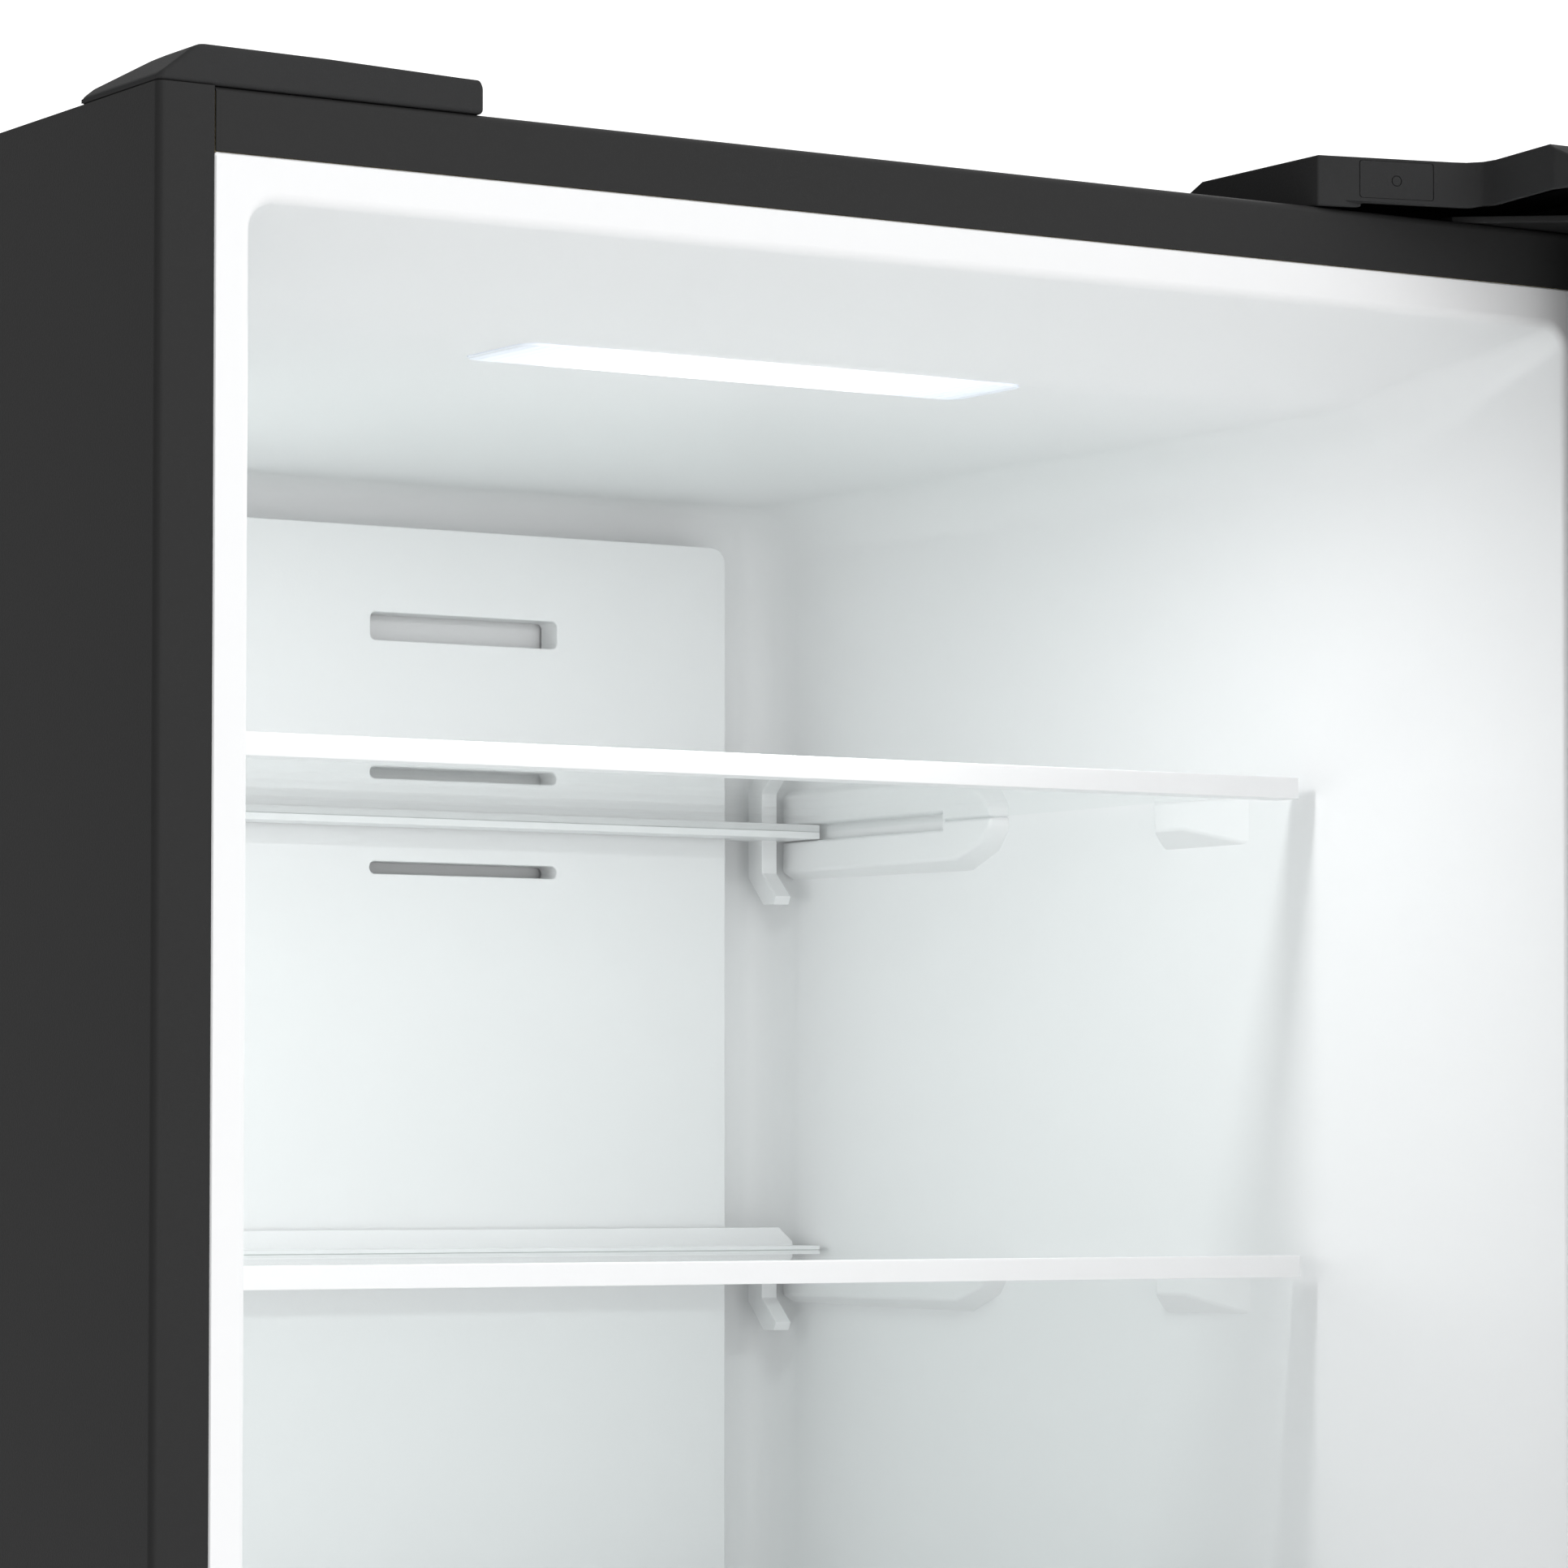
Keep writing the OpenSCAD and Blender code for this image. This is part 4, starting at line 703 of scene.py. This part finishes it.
# ---- Hinges, screws and covers ----
# Steel plates with riveted pins, zinc plated but for the painted top one. A moulded cover with a small
# access panel hides the top hinge and its wiring. A low blank cap hides the spare holes on the left.
place, feed = new_finish("zinc_steel", Metallic=1.0)
plating = noise(place, 0.003, 4)
feed("Base Color", tint(place, plating, (0.50, 0.51, 0.53), (0.66, 0.67, 0.68)))
feed("Roughness", 0.26 + 0.22 * plating)
feed("Normal", relief(place, plating, 0.00004))
softened("top_hinge", 0.0005, "cabinet_paint", 2)
for node in ("middle_hinge", "bottom_hinge"):
    softened(node, 0.0005, "zinc_steel", 2)
softened("hinge_screws", 0.0003, "zinc_steel", 2)
hinge_cover = softened("top_hinge_cover", 0.0009, "black_plastic")
panel_place = Matrix.Translation((0.215, -0.33672, 1.7020)) @ Matrix.Rotation(math.atan2(-0.26, 0.97), 4, "Z")
seam_w = 0.0004
seam_section = [(-0.5, -0.0005), (0.5, -0.0005), (0.5, 0.0006), (-0.5, 0.0006)]


def seam(outline):
    """Groove cutter that follows a closed outline on the hinge cover's front face"""
    middle = sum(outline, Vector()) / len(outline)
    rings = [[point + (point - middle).normalized() * side * seam_w + Vector((0, y, 0)) for point in outline]
             for side, y in seam_section]
    mesh = loft(rings, closed=True)
    bmesh.ops.transform(mesh, verts=mesh.verts, matrix=panel_place)
    bmesh.ops.recalc_face_normals(mesh, faces=mesh.faces)
    return mesh


access_panel = ring(0.0165, -0.0075, 0.0080, 0.0012, 0)
round_plug = ring(0.0021, -0.0021, 0.0021, 0.00205, 0)
for outline in (access_panel, round_plug):
    carve(hinge_cover, seam(outline))
softened("hinge_blank_cap", 0.0018, "black_plastic", 4)

# ---- Crispers and their lid ----
# Clear moulded drawers for vegetables. They slide on runners under a white moulded frame with a glass
# pane, which rests on the lowest ledges of the liner.
clear_finish("clear_plastic", (0.972, 0.984, 0.988), (0.88, 0.92, 0.94), 0.06, 0.07)
softened("crisper_lid_frame", 0.0006, "white_trim")
softened("left_crisper", 0.0009, "clear_plastic")
softened("right_crisper", 0.0009, "clear_plastic")

# ---- Fresh food controls and air duct ----
# A white housing under the ceiling holds the thermostat dial and the lamp. A moulded duct on the back
# wall lets cold air down between the shelves.
softened("control_housing", 0.0012, "white_trim")
softened("temperature_dial", 0.0008, "black_plastic")
softened("air_duct_panel", 0.0014, "white_trim")

# ---- Compressor compartment ----
# A hermetic compressor in a welded black shell on rubber grommets, a drip tray over the base plate, and
# a perforated board that closes the back. The condenser has the compressor's paint. The front grille and
# the power inlet are moulded in black.
place, feed = new_finish("compressor_paint", Specular_IOR_Level=0.5)
drips = noise(place, 0.012, 3)
feed("Base Color", tint(place, drips, (0.010, 0.010, 0.011), (0.018, 0.018, 0.019)))
feed("Roughness", 0.28 + 0.16 * drips)
feed("Normal", relief(place, drips, 0.0002))
softened("compressor", 0.0014, "compressor_paint")
softened("condenser", 0.0003, "compressor_paint", 2)
place, feed = new_finish("black_rubber", Specular_IOR_Level=0.2)
bloom = noise(place, 0.005, 3)
feed("Base Color", tint(place, bloom, (0.012, 0.012, 0.012), (0.030, 0.029, 0.028)))
feed("Roughness", 0.72 + 0.2 * bloom)
softened("compressor_grommets", 0.0008, "black_rubber")
softened("drip_tray", 0.0007, "black_plastic")
softened("machine_cover", 0.0003, "black_plastic", 2)
softened("base_grille", 0.0006, "black_plastic", 2)
softened("power_inlet", 0.0005, "black_plastic", 2)

# ---- Feet and rollers ----
# Two moulded levelling feet screw into the front of the base plate, and two rollers turn in its back, so
# that the cabinet can be tipped and rolled.
for node in ("left_foot", "right_foot", "left_roller", "right_roller"):
    softened(node, 0.0007, "black_plastic")

# ---- Doors ----
# A painted sheet bent round foam, with moulded caps at the top and bottom, a white liner with a raised
# ridge that holds the bins, and a grey magnetic seal. The bar handle stands on two posts.
coat("cabinet_paint", "freezer_door_skin", "fresh_door_skin")
place, feed = new_finish("handle_metal", Metallic=1.0)
stretched = place.make("Mapping", {}, {"Vector": place, "Scale": (1, 1, 0.02)})
brushed = place.make("TexNoise", {}, {"Vector": stretched, "Scale": 2600.0, "Detail": 2.0})
feed("Base Color", tint(place, brushed, (0.46, 0.465, 0.475), (0.60, 0.605, 0.615)))
feed("Roughness", 0.24 + 0.16 * brushed)
place, feed = new_finish("seal_rubber", Specular_IOR_Level=0.3)
vinyl = noise(place, 0.002, 3)
feed("Base Color", tint(place, vinyl, (0.50, 0.51, 0.52), (0.58, 0.585, 0.60)))
feed("Roughness", 0.52 + 0.14 * vinyl)
door_open = math.radians(125)
joint_place = {joint["name"]: Vector(joint["pos_m"]) for joint in frame["joints"] if "pos_m" in joint}


def swing_open(door):
    """Turn about a door's hinge from shut to the open place that it rests in"""
    pin = joint_place[door + "_swing"]
    return Matrix.Translation(pin) @ Matrix.Rotation(door_open, 4, "Z") @ Matrix.Translation(-pin)


seal_gap = 0.012
seal_profile = [(0.0024, 0.0), (0.0024, 0.0016), (0.0055, 0.0024), (0.0035, 0.0042), (0.0055, 0.0058),
                (0.0030, 0.0066), (0.0026, 0.0104), (0.0036, 0.0114), (0.0158, 0.0114), (0.0172, 0.0104),
                (0.0168, 0.0068), (0.0145, 0.0060), (0.0166, 0.0042), (0.0145, 0.0024), (0.0178, 0.0014),
                (0.0178, 0.0)]


def door_seal(door, name, low, high):
    """Bellows seal swept round the opening, drawn on the closed door and swung open with it"""
    rows = [ring(opening_half + out, low - out, high + out, opening_r + out, front_y - seal_gap + lift)
            for out, lift in seal_profile]
    mesh = loft(rows, closed=True)
    bmesh.ops.recalc_face_normals(mesh, faces=mesh.faces)
    bmesh.ops.transform(mesh, matrix=swing_open(door), verts=mesh.verts)
    item = part(name, mesh)
    smooth(item, 50, False)
    fit(item, door, "seal_rubber", door + "_seal")


door_seal("freezer_door", "freezer_seal_bellows", freezer_floor, freezer_top)
door_seal("fresh_door", "fresh_seal_bellows", fresh_floor, fresh_top)
ridge_half = opening_half - 0.007
ridge_w, ridge_high = 0.038, 0.040
mould_r, foot_r = 0.0045, 0.006
draft = 0.0008
door_plane = front_y - seal_gap
bin_bosses = {"freezer_door": ("freezer_lower_bin", "freezer_upper_bin"),
              "fresh_door": ("fresh_lower_bin", "fresh_upper_bins")}


def door_liner(door, ridge_low, ridge_top):
    """Vacuum formed liner on the closed door: a flat flange, a ridge with rounded edges and a sunk panel"""
    low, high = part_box(door + "_liner")
    half = cabinet_right.x - 0.002
    turns = [math.radians(18 * step) for step in range(6)]
    outer, inner, foot = draft, ridge_w - draft, ridge_w - draft / 4
    outline = [(0.0, 0.0), (draft / 2, 0.003), (outer, ridge_high - mould_r)]
    outline += [(outer + mould_r * (1 - math.cos(turn)), ridge_high - mould_r * (1 - math.sin(turn)))
                for turn in turns[1:]]
    outline += [(inner - mould_r * (1 - math.sin(turn)), ridge_high - mould_r * (1 - math.cos(turn)))
                for turn in turns]
    outline += [(foot + foot_r * (1 - math.cos(turn)), foot_r * (1 - math.sin(turn)))
                for turn in (math.radians(22.5 * step) for step in range(5))]
    rows = [ring(half, low.z, high.z, 0.006, door_plane - draft),
            ring(half - draft, low.z + draft, high.z - draft, 0.0055, door_plane)]
    for inset, lift in outline:
        rows.append(ring(ridge_half - inset, ridge_low + inset, ridge_top - inset,
                         max(0.014 - 0.4 * inset, 0.006), door_plane + lift))
    mesh = loft(rows, cap=True)
    bmesh.ops.recalc_face_normals(mesh, faces=mesh.faces)
    panel = part("door_mould", mesh)
    wall = panel.modifiers.new("wall", "SOLIDIFY")
    wall.thickness, wall.offset, wall.use_even_offset = liner_t * 0.9, -1, True
    applied(panel)
    smooth(panel, formed_sharp)
    bosses = []
    for node in bin_bosses[door]:
        for side in (-1, 1):
            boss = bmesh.new()
            bmesh.ops.create_cone(boss, cap_ends=True, segments=32, radius1=0.0075, radius2=0.0062,
                                  depth=0.005)
            place = Matrix.Translation((side * (ridge_half - ridge_w - draft), door_plane + 0.022,
                                        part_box(node)[0].z + 0.050))
            inward = Matrix.Rotation(-side * math.pi / 2, 4, "Y")
            bmesh.ops.transform(boss, matrix=place @ inward, verts=boss.verts)
            bosses.append(rounded(part("boss", boss), 0.0008))
    item = joined(door + "_liner_formed", panel, *bosses)
    smooth(item, formed_sharp)
    item.data.transform(swing_open(door))
    fit(item, door, "white_liner", door + "_liner")


door_liner("freezer_door", freezer_floor + 0.008, ceiling_z + 0.008)
door_liner("fresh_door", fresh_floor + 0.008, fresh_top - 0.008)
for door in ("freezer_door", "fresh_door"):
    softened(door + "_caps", 0.001, "black_plastic")
    softened(door + "_handle", 0.0012, "handle_metal")
for node in ("freezer_upper_bin", "freezer_lower_bin", "fresh_upper_bins", "fresh_lower_bin"):
    softened(node, 0.0009, "clear_plastic")
